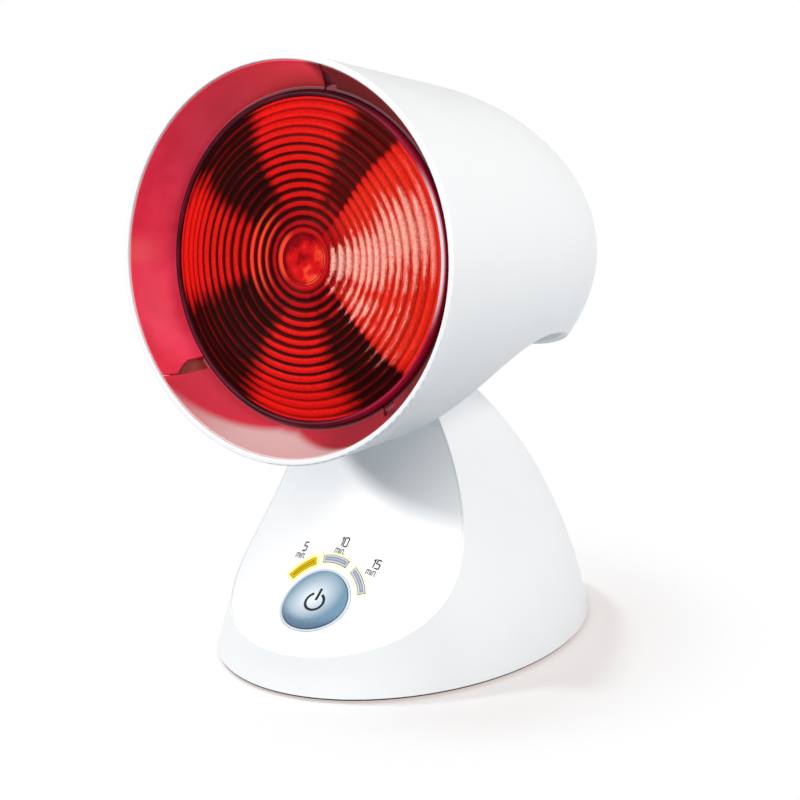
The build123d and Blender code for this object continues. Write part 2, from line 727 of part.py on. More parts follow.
def pivot_pin():
    pin = pivot_rod(PIN_R, EAR_OUT + WASHER_T + NUT_T + 1, -EAR_OUT)
    return pin + pivot_rod(PIN_HEAD_R, -EAR_OUT, -EAR_OUT - PIN_HEAD_T)


def pivot_nut():
    start = EAR_OUT + WASHER_T
    hexagon = extrude(RegularPolygon(NUT_R, 6) - Circle(PIN_R + RUN), NUT_T)
    return Pos(start, PIVOT_Y, PIVOT_Z) * Rot(0, 90, 0) * hexagon


def washer(start, radius):
    ring = pivot_rod(radius, start + WASHER_T, start)
    return ring - pivot_rod(PIN_R + RUN, FAR)


def friction_washers():
    gap = TONGUE_T / 2 + FIT
    return group([washer(gap, WASHER_R), washer(-gap - WASHER_T, WASHER_R)])


def nut_washer():
    return washer(EAR_OUT, WASHER_R - 1)


# ---------------------------------------------------------------- stand
def stand_sections(inset):
    sections = []
    for level, wide, deep, middle in zip(STAND_LEVELS, HALF_WIDTHS, HALF_DEPTHS, MIDDLES):
        sections.append(Pos(0, PIVOT_Y + middle, level) * Ellipse(wide - inset, deep - inset))
    return sections


@cache
def stand_sides(inset=0.0):
    return loft(stand_sections(inset))


def front_line():
    """The front face's middle line, as (distance from its upright axis, height)."""
    return Spline(*[(ahead + FRONT_AXIS, height) for ahead, height in FRONT_CURVE])


@cache
def front_form(inset=0.0):
    """The round solid whose side is the front face, drawn in by an inset."""
    line = front_line()
    count = 2 * len(FRONT_CURVE)
    points = []
    for index in range(count + 1):
        place = line @ (index / count)
        along = line % (index / count)
        points.append(Vector(place.X, place.Y) + Vector(-along.Y, along.X) * inset)
    curve = Spline(*points) if inset else line
    foot, top = curve @ 0, curve @ 1
    edges = [
        Line((0, -FRONT_TOP), (foot.X, -FRONT_TOP)),
        Line((foot.X, -FRONT_TOP), (foot.X, foot.Y)),
        curve,
        Line((top.X, top.Y), (top.X, FRONT_TOP)),
        Line((top.X, FRONT_TOP), (0, FRONT_TOP)),
        Line((0, FRONT_TOP), (0, -FRONT_TOP)),
    ]
    return Pos(0, PIVOT_Y + FRONT_AXIS, 0) * spun(edges)


def crown_form(inset=0.0):
    """Everything below the crown, which is round about the pivot."""
    radius = KNUCKLE_R - inset
    pivot = Vector(PIVOT_Y, PIVOT_Z)
    reach = FRONT_CURVE[-1][0]
    rise = CROWN_STEP - inset
    turn = asin(radius / hypot(reach, rise)) - atan2(rise, reach)
    slope = radians(CROWN_SLOPE)
    back = pivot + Vector(sin(slope), cos(slope)) * radius
    front = pivot + Vector(-sin(turn), cos(turn)) * radius
    top = pivot + Vector(sin((slope - turn) / 2), cos((slope - turn) / 2)) * radius
    ahead = front - Vector(cos(turn), sin(turn)) * FAR / 4
    behind = back + Vector(cos(slope), -sin(slope)) * FAR / 2
    low = -FAR
    rest = [behind, Vector(behind.X, low), Vector(ahead.X, low), ahead]
    edges = [
        Line(ahead, front),
        ThreePointArc(front, top, back),
        Line(back, behind),
        Polyline(*rest),
    ]
    return sideways(make_face(edges), FAR)


def stand_form(side=0.0, front=0.0, top=0.0):
    return stand_sides(side) & front_form(front) & crown_form(top)


@cache
def panel_frame():
    """Frame on the panel at the button: Z out of the panel, Y up along it."""
    line = front_line()
    low, high = 0.0, 1.0
    while high - low > 1e-7:
        middle = (low + high) / 2
        if (line @ middle).Y < BUTTON_Z:
            low = middle
        else:
            high = middle
    place = line @ low
    along = line % low
    spot = (0, PIVOT_Y + FRONT_AXIS - place.X, place.Y)
    return Plane(origin=spot, x_dir=(1, 0, 0), z_dir=(0, -along.Y, -along.X))


def on_panel(piece):
    return panel_frame().location * piece


def guide_shape(grow=0.0):
    """One light guide's outline above the button, as a face."""
    inner, outer = GUIDE_INNER_R - grow, GUIDE_OUTER_R + grow
    spread = radians(GUIDE_HALF_SPAN) + grow / GUIDE_INNER_R
    aim = [Vector(-sin(spread), cos(spread)), Vector(0, 1), Vector(sin(spread), cos(spread))]
    edges = [
        ThreePointArc(*[direction * inner for direction in aim]),
        Line(aim[2] * inner, aim[2] * outer),
        ThreePointArc(*[direction * outer for direction in reversed(aim)]),
        Line(aim[0] * outer, aim[0] * inner),
    ]
    return make_face(edges)


def guide_bar(turn, low, high, grow=0.0):
    return Rot(0, 0, turn) * Pos(0, 0, low) * extrude(guide_shape(grow), high - low)


def guide_turns():
    return [GUIDE_STEP, 0.0, -GUIDE_STEP]


def board_screw_spots():
    across = BOARD_HALF_WIDTH - BOARD_SCREW_INSET
    ends = (BOARD_SCREW_INSET - BOARD_LOW, BOARD_HIGH - BOARD_SCREW_INSET)
    return [(x, y) for x in (-across, across) for y in ends]


def base_screw_spots():
    return [(x, BASE_Y + y) for x in (-BASE_SCREW_X, BASE_SCREW_X) for y in (-BASE_SCREW_Y, BASE_SCREW_Y)]


def foot_spots():
    return [(x, BASE_Y + y) for x in (-FOOT_X, FOOT_X) for y in (-FOOT_AHEAD, FOOT_BEHIND)]


def tongue_slot():
    """Room for the tongue over its whole swing."""
    half = TONGUE_WIDTH / 2 + SIDE_GAP + FIT
    tall = KNUCKLE_R + 2 * SIDE_GAP
    top = half / cos(radians(SWING)) + tall * tan(radians(SWING))
    foot = TONGUE_R + SIDE_GAP + FIT
    corners = [(-foot, 0), (-top, tall), (top, tall), (foot, 0)]
    spots = [(PIVOT_Y + y, PIVOT_Z + z) for y, z in corners]
    fan = sideways(make_face(Polyline(*spots, close=True)), SLOT_HALF)
    return fan + pivot_rod(max(foot, WASHER_R + FIT), SLOT_HALF)


def hinge_ears():
    """Two solid ears in the crown, either side of the tongue's slot."""
    across = (PIVOT_Y - EAR_HALF_WIDTH, PIVOT_Y + EAR_HALF_WIDTH)
    return block((-EAR_OUT, EAR_OUT), across, (PIVOT_Z - EAR_DEPTH, PIVOT_Z + KNUCKLE_R))


def stand_shell():
    outside = stand_form()
    inside = stand_form(STAND_WALL, PANEL_T + FRONT_WALL, STAND_WALL)
    core = stand_form(STAND_WALL / 2, PANEL_T + FRONT_WALL / 2, STAND_WALL / 2)
    bosses = [Pos(x, y, 0) * rod(BASE_BOSS_R, PLATE_TOP, PIVOT_Z) for x, y in base_screw_spots()]
    posts = [on_panel(Pos(x, y, 0) * rod(POST_R, -BOARD_DEPTH, 0)) for x, y in board_screw_spots()]
    shell = (outside - inside) + [piece & core for piece in [hinge_ears()] + bosses + posts]
    above = block((-FAR, FAR), (-FAR, FAR), (PANEL_TOP, FAR))
    shell -= stand_sides(PANEL_BORDER) - front_form(PANEL_T) - above
    cuts = [tongue_slot(), pivot_rod(PIN_R + RUN, EAR_OUT + FIT), gland_bar(GLAND_R + FIT, FAR)]
    cuts.append(on_panel(rod(BUTTON_R + BUTTON_GAP, -BOARD_DEPTH / 2, BOARD_DEPTH)))
    for turn in guide_turns():
        cuts.append(on_panel(guide_bar(turn, -GUIDE_END, BOARD_DEPTH, FIT)))
    for x, y in board_screw_spots():
        cuts.append(on_panel(Pos(x, y, -BOARD_DEPTH) * screw_hole(BOARD_SCREW_LENGTH)))
    for x, y in base_screw_spots():
        cuts.append(Pos(x, y, PLATE_TOP - FIT) * screw_hole(BASE_SCREW_LENGTH))
    cuts.append(block((-FAR, FAR), (-FAR, FAR), (-FAR, SHELL_LIFT)))
    return shell - cuts


def rear_wall_y():
    """Where the stand's outside is at the cord inlet's height, on the middle line."""
    line = Spline(*[(PIVOT_Y + middle + deep, level)
                    for level, deep, middle in zip(STAND_LEVELS, HALF_DEPTHS, MIDDLES)])
    low, high = 0.0, 1.0
    while high - low > 1e-7:
        middle = (low + high) / 2
        if (line @ middle).Y < GLAND_Z:
            low = middle
        else:
            high = middle
    return (line @ low).X


def gland_bar(radius, back, front=None):
    """A round bar along Y through the rear wall, from inside to a distance behind the wall."""
    wall = rear_wall_y()
    start = wall - GLAND_LENGTH if front is None else front
    return Pos(0, start, GLAND_Z) * Rot(-90, 0, 0) * rod(radius, 0, wall + back - start)


# ---------------------------------------------------------------- control panel
def front_panel():
    plate = stand_sides(PANEL_BORDER + FIT) & front_form() & crown_form()
    plate = plate - front_form(PANEL_T)
    plate = plate & block((-FAR, FAR), (-FAR, FAR), (0, PANEL_TOP - FIT))
    plate -= on_panel(rod(BEZEL_R + FIT, -BOARD_DEPTH, BOARD_DEPTH))
    for turn in guide_turns():
        plate -= on_panel(guide_bar(turn, -BOARD_DEPTH, BOARD_DEPTH, FIT))
    return plate


def button_bezel():
    ring = on_panel(tube(BEZEL_R, BUTTON_R + BUTTON_GAP, -BOARD_DEPTH / 2, BOARD_DEPTH / 2))
    return (ring & front_form(-BEZEL_PROUD)) - front_form(PANEL_T)


def power_button():
    """A cap that follows the panel's face, with a catch flange and a stem."""
    cap = on_panel(rod(BUTTON_R, -BUTTON_DEPTH, BOARD_DEPTH)) & front_form(-BUTTON_PROUD)
    flange_low = -BUTTON_DEPTH - BUTTON_FLANGE_T
    flange = rod(BUTTON_R + BUTTON_FLANGE, flange_low, -BUTTON_DEPTH)
    stem = rod(BUTTON_STEM_R, -STEM_END, -BUTTON_DEPTH)
    return cap + on_panel(flange + stem)


def light_guide(turn):
    bar = on_panel(guide_bar(turn, -GUIDE_END, BOARD_DEPTH))
    return bar & front_form(-GUIDE_PROUD)


def light_guide_left():
    return light_guide(guide_turns()[0])


def light_guide_middle():
    return light_guide(guide_turns()[1])


def light_guide_right():
    return light_guide(guide_turns()[2])


# ---------------------------------------------------------------- timer board
def timer_board():
    half = BOARD_HALF_WIDTH
    board = block((-half, half), (-BOARD_LOW, BOARD_HIGH), (-BOARD_DEPTH - BOARD_T, -BOARD_DEPTH))
    for x, y in board_screw_spots():
        board -= Pos(x, y, -BOARD_DEPTH - BOARD_T) * screw_hole(BOARD_T)
    return on_panel(board)


def board_screws():
    spots = [Pos(x, y, -BOARD_DEPTH - BOARD_T) * screw(BOARD_SCREW_LENGTH) for x, y in board_screw_spots()]
    return on_panel(group(spots))


def button_switch():
    half = SWITCH_SIDE / 2
    body = block((-half, half), (-half, half), (-BOARD_DEPTH, -BOARD_DEPTH + SWITCH_H))
    body = chamfer(body.edges().group_by(Axis.Z)[-1], SWITCH_SIDE / 20)
    plunger = rod(PLUNGER_R, -BOARD_DEPTH + SWITCH_H, -STEM_END - BUTTON_TRAVEL - FIT)
    return on_panel(body + plunger)


def indicator_leds():
    half = LED_SIDE / 2
    middle = (GUIDE_INNER_R + GUIDE_OUTER_R) / 2
    chip = block((-half, half), (middle - half, middle + half), (-BOARD_DEPTH, -BOARD_DEPTH + LED_H))
    return on_panel(group([Rot(0, 0, turn) * chip for turn in guide_turns()]))


# ---------------------------------------------------------------- base
def bottom_plate():
    floor = block((-FAR, FAR), (-FAR, FAR), (PLATE_LIFT, SHELL_LIFT))
    edge = stand_sides(PLATE_INSET) & front_form(PLATE_INSET) & floor
    body = stand_form(STAND_WALL + FIT, PANEL_T + FRONT_WALL + FIT, STAND_WALL)
    body = body & block((-FAR, FAR), (-FAR, FAR), (SHELL_LIFT, PLATE_TOP))
    plate = edge + body
    for x, y in base_screw_spots():
        plate -= Pos(x, y, PLATE_LIFT) * rod(SCREW_R + RUN, -FIT, PLATE_T + FIT)
        plate -= Pos(x, y, PLATE_LIFT) * rod(SCREW_HEAD_R + FIT, -FIT, SCREW_HEAD_T)
    for x, y in foot_spots():
        plate -= Pos(x, y, 0) * rod(FOOT_R + RUN, 0, FOOT_H)
    return plate


def rubber_feet():
    feet = []
    for x, y in foot_spots():
        pad = rod(FOOT_R, 0, FOOT_H)
        edge = pad.edges().filter_by(GeomType.CIRCLE).sort_by(Axis.Z)[0]
        feet.append(Pos(x, y, 0) * fillet(edge, PLATE_LIFT / 2))
    return group(feet)


def base_screws():
    level = PLATE_LIFT + SCREW_HEAD_T
    return group([Pos(x, y, level) * screw(BASE_SCREW_LENGTH) for x, y in base_screw_spots()])


def ballast_screw_spots():
    across = BALLAST_HALF_WIDTH - BALLAST_SCREW_INSET
    ends = (BALLAST_SCREW_INSET - BALLAST_FRONT, BALLAST_BACK - BALLAST_SCREW_INSET)
    return [(x, BASE_Y + y) for x in (-across, across) for y in ends]


def ballast_plate():
    half = BALLAST_HALF_WIDTH
    across = (BASE_Y - BALLAST_FRONT, BASE_Y + BALLAST_BACK)
    plate = block((-half, half), across, (PLATE_TOP, BALLAST_TOP))
    plate = fillet(plate.edges().filter_by(Axis.Z), BALLAST_SCREW_INSET)
    for x, y in ballast_screw_spots():
        plate -= Pos(x, y, PLATE_TOP) * rod(SCREW_R + RUN, -FIT, BALLAST_T + FIT)
    return plate


def board_pillars():
    """Spacers that hold the power board above the ballast."""
    return group([Pos(x, y, 0) * tube(POST_R, SCREW_R + RUN, BALLAST_TOP, POWER_BOARD_Z)
                  for x, y in power_board_spots()])


def power_board_spots():
    across = POWER_BOARD_HALF - BOARD_SCREW_INSET
    ends = (POWER_BOARD_FRONT + BOARD_SCREW_INSET, POWER_BOARD_BACK - BOARD_SCREW_INSET)
    return [(x, BASE_Y + y) for x in (-across, across) for y in ends]


def power_board():
    half = POWER_BOARD_HALF
    across = (BASE_Y + POWER_BOARD_FRONT, BASE_Y + POWER_BOARD_BACK)
    board = block((-half, half), across, (POWER_BOARD_Z, POWER_BOARD_Z + BOARD_T))
    for x, y in power_board_spots():
        board -= Pos(x, y, POWER_BOARD_Z) * rod(SCREW_R + RUN, -FIT, BOARD_T + FIT)
    return board


def power_board_screws():
    one = Pos(0, 0, POWER_BOARD_Z + BOARD_T) * Rot(180, 0, 0) * screw(BOARD_SCREW_LENGTH)
    return group([Pos(x, y, 0) * one for x, y in power_board_spots()])


def on_power_board(size, x, y):
    """A part's body on the power board, placed by its middle."""
    level = POWER_BOARD_Z + BOARD_T + size[2] / 2
    return Pos(x, BASE_Y + y, level) * Box(*size)


def relay():
    body = on_power_board(RELAY_SIZE, RELAY_X, POWER_BOARD_FRONT + PART_EDGE + RELAY_SIZE[1] / 2)
    return fillet(body.edges().filter_by(Axis.Z), 1)


def film_capacitor():
    body = on_power_board(CAPACITOR_SIZE, CAPACITOR_X, POWER_BOARD_FRONT + PART_EDGE + CAPACITOR_SIZE[1] / 2)
    return fillet(body.edges().group_by(Axis.Z)[-1], 1)


def terminal_block():
    spot_y = POWER_BOARD_BACK - TERMINAL_SIZE[1]
    body = on_power_board(TERMINAL_SIZE, 0, spot_y)
    top = POWER_BOARD_Z + BOARD_T + TERMINAL_SIZE[2]
    step = TERMINAL_SIZE[0] / 3
    for index in (-1, 0, 1):
        body -= Pos(index * step, BASE_Y + spot_y, top) * rod(SCREW_R, -SCREW_HEAD_T, FIT)
    return body


def fuse():
    level = POWER_BOARD_Z + BOARD_T + FUSE_R
    spot_y = BASE_Y + POWER_BOARD_BACK - 2 * TERMINAL_SIZE[1] - 2 * FUSE_R
    bar = rod(FUSE_R, -FUSE_LENGTH / 2, FUSE_LENGTH / 2)
    return Pos(-FUSE_LENGTH / 4, spot_y, level) * Rot(0, 90, 0) * bar


# ---------------------------------------------------------------- cord inlet
def cord_gland():
    wall = rear_wall_y()
    flange = gland_bar(GLAND_FLANGE_R, GLAND_FLANGE_T, wall - GLAND_LENGTH / 2) - stand_sides(-RUN)
    body = gland_bar(GLAND_R, GLAND_FLANGE_T)
    return flange + body - gland_bar(GLAND_BORE_R, FAR, wall - FAR / 4)


def gland_nut():
    wall = rear_wall_y()
    start = wall - GLAND_LENGTH + GLAND_NUT_T / 2
    nut = Pos(0, start, GLAND_Z) * Rot(-90, 0, 0) * extrude(RegularPolygon(GLAND_FLANGE_R, 6), GLAND_NUT_T)
    return nut - gland_bar(GLAND_R + RUN, FAR, wall - FAR / 4)


# ---------------------------------------------------------------- everything
PIECES = (
    shade_shell, rear_vent_cap, liner_left, liner_bottom, liner_right,
    bulb_lens, bulb_reflector, bulb_cap, cap_insulator, cap_contact, filament, filament_stem,
    bulb_housing, housing_screws, lamp_holder, holder_sleeve, holder_contact, holder_strap,
    holder_screws, hinge_arm, cradle_screws,
    pivot_pin, pivot_nut, nut_washer, friction_washers,
    stand_shell, front_panel, button_bezel, light_guide_left, light_guide_middle,
    light_guide_right, timer_board, board_screws, button_switch, indicator_leds,
    bottom_plate, rubber_feet, base_screws, ballast_plate, board_pillars, power_board,
    power_board_screws, relay, film_capacitor, terminal_block, fuse, cord_gland, gland_nut,
    power_button,
)

os.makedirs("parts", exist_ok=True)
for piece in PIECES:
    export_step(piece(), "parts/" + piece.__name__ + ".step")
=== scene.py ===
import json
from functools import partial, partialmethod
from math import atan2, ceil, cos, pi, radians, sin, sqrt

import bmesh
import bpy
from mathutils import Matrix, Vector
from mathutils.bvhtree import BVHTree


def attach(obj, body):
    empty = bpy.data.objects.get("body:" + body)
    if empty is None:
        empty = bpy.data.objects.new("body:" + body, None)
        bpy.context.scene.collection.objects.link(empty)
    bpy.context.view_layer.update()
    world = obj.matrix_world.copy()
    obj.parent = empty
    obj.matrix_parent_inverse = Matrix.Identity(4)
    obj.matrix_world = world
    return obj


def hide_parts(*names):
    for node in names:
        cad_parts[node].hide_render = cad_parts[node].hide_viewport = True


# Infrared heat therapy lamp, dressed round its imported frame. Metres, +Z up, -Y where it shines.
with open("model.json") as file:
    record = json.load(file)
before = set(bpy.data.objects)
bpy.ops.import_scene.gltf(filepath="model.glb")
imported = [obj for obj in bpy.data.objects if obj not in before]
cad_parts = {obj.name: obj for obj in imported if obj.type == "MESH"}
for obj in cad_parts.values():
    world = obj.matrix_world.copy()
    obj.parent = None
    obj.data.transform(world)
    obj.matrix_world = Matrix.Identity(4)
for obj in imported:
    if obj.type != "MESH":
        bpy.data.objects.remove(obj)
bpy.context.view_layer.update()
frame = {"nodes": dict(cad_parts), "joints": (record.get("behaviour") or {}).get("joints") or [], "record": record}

MM = 0.001


def joint(name):
    return next(one for one in frame["joints"] if one["name"] == name)


# ---- sizes
TILT = radians(10.4)           # how far the lamp's axis rises towards the front
RIM_AHEAD = 71.3 * MM          # rim centre ahead of the pivot
RIM_ABOVE = 68.4 * MM          # and above it
BULB_R = 60.5 * MM
LENS_CLEAR_R = 57.0 * MM       # ribbed part of the lens
LENS_EDGE_R = 58.3 * MM        # plain edge of the lens, inside the rolled rim
LENS_EYE_R = 11.5 * MM         # where the ribs start
LENS_DISC_R = 9.4 * MM         # plain disc in the middle
LENS_SETBACK = 15.0 * MM       # edge of the lens behind the rim
LENS_CROWN = 4.0 * MM          # how far the face stands ahead of its edge
LENS_DISH = 1.9 * MM           # how far its middle is sunk
LENS_DISH_R = (22.0 * MM, 36.0 * MM)
LENS_SHOULDER_R = 44.0 * MM
LENS_RIBS = 14
RIB_CROWDING = 0.06            # ribs are this much closer together towards the edge
LENS_RIB_H = 0.4 * MM
LENS_WALL = 3.0 * MM
BEAD_INSIDE = 0.3 * MM         # the rolled rim's bead starts this far inside the edge
BEAD_SETBACK = 0.4 * MM
BEAD_STRETCH = 1.15            # and is this much deeper than half its width
RING_GROOVE_R = 59.6 * MM      # dark line along the rolled rim
# painted highlight: the pale streak along the rolled rim
RING_HIGHLIGHT_R = 59.1 * MM      # pale streak along it
TURNS = 256                    # steps round a turned form
SCREW_HEAD_R = 2.8 * MM
SCREW_HEAD_T = 1.8 * MM
RECESS_DEPTH = 1.0 * MM
RECESS_REACH = 1.7 * MM
RECESS_WIDTH = 0.7 * MM
HEAD_CUT = 0.35                # a screw's head is a ball cut flat below, at this share of its radius
HEAD_SWELL = 1.3               # its sides are pushed out this much, up to the head's radius
SKIN_CREASE = radians(28)      # faces that meet at more than this have a sharp edge between them
LINER_CREASE = radians(40)
SCREW_CREASE = radians(35)
BUTTON_SPOT = Vector((0, -61.94, 27.4)) * MM
GUIDE_INNER_R = 16.8 * MM
GUIDE_OUTER_R = 19.7 * MM
GUIDE_MIDDLE_R = (GUIDE_INNER_R + GUIDE_OUTER_R) / 2
GUIDE_HALF_WIDTH = (GUIDE_OUTER_R - GUIDE_INNER_R) / 2
GUIDE_HALF_SPAN = radians(17.5)
GUIDE_STEP = radians(45.5)
GLOW_REACH = 2.2 * MM          # how far light spreads in the panel round a light guide
LINER_FRONT = 1.2 * MM         # liner's front edge behind the rim
LINER_DEPTH = 16.5 * MM
LINER_FRONT_R = 70.5 * MM
LINER_BACK_R = 61.7 * MM
LINER_BOW = 1.0 * MM
LINER_T = 1.2 * MM
LINER_GAP = 0.35               # half width of a joint, degrees
NOTCH = 4.3                    # width of the notch behind each joint, degrees
NOTCH_STARTS = 0.38            # where it widens, as a share of the liner's depth
NOTCH_ENDS = 0.72
LAP_UNDER = 2.5                # how far a lap reaches past the notch, degrees
LAP_OVER = 2.0                 # and past the joint
LAP_CLEAR = 0.1 * MM           # a lap behind the foil that it joins
LAP_FRONT = 0.08               # where a lap starts, as a share of the liner's depth
FLANGE_GAP = 0.25 * MM         # liner's turned-in rear edge from the bulb
FLANGE_T = 0.5 * MM
FLANGE_STEP = 0.7 * MM         # a lap's rear edge behind the one that it joins
# where each joint meets the lip, in degrees from the right towards the top, and its lean by the rear edge
LINER_JOINTS = {"liner_left": (84.5, 6.5), "liner_bottom": (225.2, 3.5), "liner_right": (319.0, -5.5)}
FEEL_FROM = 30.0 * MM          # rays on to a surface start this far out of it
PRINT_T = 0.02 * MM            # print stands this far out of its surface
POWER_RING_R = 3.75 * MM
POWER_STROKE = 1.1 * MM
POWER_GAP = radians(27)        # half of the ring's opening
POWER_LEAN = radians(-4)
POWER_RING_SHIFT = Vector((0, -0.2)) * MM
POWER_BAR = (0.5 * MM, 5.7 * MM)
POWER_BAR_X = 0.1 * MM
NUMBER_H = 3.3 * MM
NUMBER_STROKE = 0.52 * MM
UNIT_H = 1.85 * MM             # the unit below each number
UNIT_STROKE = 0.34 * MM
UNIT_SHIFT = (-0.7, -3.0)      # from the number, mm
# each timer number, and its foot's middle in mm from the button's middle
NUMBERS = (("5", -16.2, 19.1), ("10", 0.7, 23.5), ("15", 16.7, 19.1))

PIVOT = Vector(joint("head_tilt")["pos_m"])
RIM = PIVOT + Vector((0, -RIM_AHEAD, RIM_ABOVE))
HEAD_TURN = -(pi / 2 + TILT)   # the head's frame: Z back along the axis, Y down
HEAD = Matrix.Translation(RIM) @ Matrix.Rotation(HEAD_TURN, 4, "X")
PRESS = Vector(joint("button_press")["axis"])
PANEL_TURN = atan2(PRESS.y, -PRESS.z)
PANEL = Matrix.Translation(BUTTON_SPOT) @ Matrix.Rotation(PANEL_TURN, 4, "X")

# ---- camera
CAMERA_AIM = Vector((-3.1, -3.8, 90.7)) * MM
CAMERA_AZIMUTH = radians(35.743)
CAMERA_ELEVATION = radians(17.388)
CAMERA_DISTANCE = 1.218
CAMERA_LENS = 144.2


def way_to(azimuth, elevation):
    """The way out to something seen at two angles, the first one from -Y towards +X."""
    level = cos(elevation)
    return Vector((sin(azimuth) * level, -cos(azimuth) * level, sin(elevation)))


def aimed(thing, way, distance, aim):
    """Sets a camera or light at a distance along a way from what it looks at."""
    thing.location = aim + way * distance
    thing.rotation_mode = "QUATERNION"
    thing.rotation_quaternion = (-way).to_track_quat("-Z", "Y")
    bpy.context.scene.collection.objects.link(thing)


def make_camera():
    data = bpy.data.cameras.new("camera")
    data.lens = CAMERA_LENS
    data.sensor_width = 36.0
    data.clip_start = 0.05
    data.clip_end = 20.0
    camera = bpy.data.objects.new("camera", data)
    aimed(camera, way_to(CAMERA_AZIMUTH, CAMERA_ELEVATION), CAMERA_DISTANCE, CAMERA_AIM)
    bpy.context.scene.camera = camera


make_camera()
bpy.context.scene.view_settings.view_transform = "Standard"


# ---- nodes
class Nodes:
    """A node tree being made, with short ways to add and join its nodes."""

    def __init__(self, tree):
        self.tree = tree

    def join(self, value, socket):
        """Links a socket's value to another socket, or sets a plain value there."""
        if isinstance(value, bpy.types.NodeSocket):
            self.tree.links.new(value, socket)
        else:
            socket.default_value = value

    def node(self, kind, values=(), **settings):
        made = self.tree.nodes.new(kind)
        for key, value in settings.items():
            setattr(made, key, value)
        pairs = values.items() if isinstance(values, dict) else enumerate(values)
        for key, value in pairs:
            self.join(value, made.inputs[key])
        return made

    def out(self, kind, values=(), **settings):
        """The first output of a new node."""
        return self.node(kind, values, **settings).outputs[0]

    def math(self, operation, *values):
        return self.out("ShaderNodeMath", values, operation=operation)

    def chain(self, operation, first, *others):
        for other in others:
            first = self.math(operation, first, other)
        return first

    plus = partialmethod(chain, "ADD")
    less = partialmethod(chain, "SUBTRACT")
    times = partialmethod(chain, "MULTIPLY")
    lowest = partialmethod(chain, "MINIMUM")
    highest = partialmethod(chain, "MAXIMUM")

    def off(self, value, middle):
        """How far a value is from a middle, either way."""
        return self.math("ABSOLUTE", self.less(value, middle))

    def scaled(self, value, middle, factor):
        """How far a value is past a middle, times a factor."""
        return self.times(self.less(value, middle), factor)

    def length(self, x, y):
        return self.math("SQRT", self.plus(self.times(x, x), self.times(y, y)))

    def vector(self, x, y, z=0.0):
        return self.out("ShaderNodeCombineXYZ", [x, y, z])

    def parts(self, vector):
        return self.node("ShaderNodeSeparateXYZ", [vector]).outputs

    def span(self, value, low, high, new_low=0.0, new_high=1.0, kind="LINEAR"):
        """A value brought from one range to another, held at its ends."""
        values = [value, low, high, new_low, new_high]
        return self.out("ShaderNodeMapRange", values, interpolation_type=kind)

    def ease(self, *values):
        """The same, but smooth at both ends."""
        return self.span(*values, kind="SMOOTHSTEP")

    def band(self, value, middle, outside, inside):
        """One at a middle, zero from a distance off it."""
        return self.span(self.off(value, middle), outside, inside)


# ---- materials
GRAIN_DEPTH = 0.04 * MM
BRUSH_DEPTH = 0.03 * MM


def linear(color):
    """Blender's own values for a colour as it shows on a screen, 0 to 255; a socket stays as it is."""
    if isinstance(color, bpy.types.NodeSocket):
        return color
    parts = []
    for part in color:
        share = part / 255
        parts.append(share / 12.92 if share <= 0.04045 else ((share + 0.055) / 1.055) ** 2.4)
    return (*parts, 1.0)


FINISHES = {}


class Finish(Nodes):
    """A material being made, kept among the finishes by its name."""

    def __init__(self, name, color, roughness, metallic=0.0, coat=0.0, coat_roughness=0.05, specular=0.5):
        material = bpy.data.materials.new(name)
        material.use_nodes = True
        FINISHES[name] = material
        super().__init__(material.node_tree)
        self.shader = self.tree.nodes["Principled BSDF"]
        self.paint(color)
        self.set("Roughness", roughness)
        self.set("Metallic", metallic)
        self.set("Specular IOR Level", specular)
        self.set("Coat Weight", coat)
        self.set("Coat Roughness", coat_roughness)

    def set(self, socket, value):
        self.join(value, self.shader.inputs[socket])

    def paint(self, color, glow=0.0):
        """Sets the colour, and lets it glow a little by itself."""
        self.set("Base Color", linear(color))
        if glow:
            self.set("Emission Color", linear(color))
            self.set("Emission Strength", glow)

    def place(self, origin=(0, 0, 0), turn=0.0):
        """Object coordinates in a frame at an origin, turned about X."""
        spot = self.node("ShaderNodeTexCoord").outputs["Object"]
        if not turn and not any(origin):
            return spot
        values = {"Vector": spot, "Location": origin, "Rotation": (turn, 0, 0)}
        return self.out("ShaderNodeMapping", values, vector_type="TEXTURE")

    def noise(self, scale, detail=2.0, vector=None, roughness=0.5):
        values = {"Scale": scale, "Detail": detail, "Roughness": roughness}
        values["Vector"] = self.place() if vector is None else vector
        return self.out("ShaderNodeTexNoise", values)

    def mix(self, share, first, second):
        values = {0: share, 6: linear(first), 7: linear(second)}
        return self.node("ShaderNodeMix", values, data_type="RGBA").outputs[2]

    def drift(self, color, other, scale=30.0):
        """A colour that drifts a little towards another over the piece."""
        return self.mix(self.span(self.noise(scale, 3.0), 0.3, 0.7), color, other)

    def ramp(self, share, stops):
        """A grey curve through (place, value) stops."""
        made = self.node("ShaderNodeValToRGB", [share])
        line = made.color_ramp
        while len(line.elements) < len(stops):
            line.elements.new(0.5)
        for element, (place, value) in zip(line.elements, stops):
            element.position = place
            element.color = (value, value, value, 1)
        return made.outputs[0]

    def bump(self, height, strength, distance):
        made = self.node("ShaderNodeBump", {"Height": height, "Strength": strength, "Distance": distance})
        self.set("Normal", made.outputs[0])

    def grain(self, scale, strength, rough=None):
        """A moulded skin: fine bumps, and a roughness that drifts a little."""
        self.bump(self.noise(scale, 3.0), strength, GRAIN_DEPTH)
        if rough:
            self.set("Roughness", self.span(self.noise(45.0, 2.0), 0.3, 0.7, *rough))


def make_shell_white():
    made = Finish("shell_white", (238, 239, 240), 0.36)
    made.paint(made.drift((239, 240, 241), (236, 237, 239), 22.0))
    made.grain(2600.0, 0.1, rough=(0.32, 0.4))


def make_housing_white():
    made = Finish("housing_white", (226, 228, 230), 0.5)
    made.paint(made.drift((228, 229, 231), (222, 224, 227)))
    made.grain(1900.0, 0.25, rough=(0.48, 0.58))


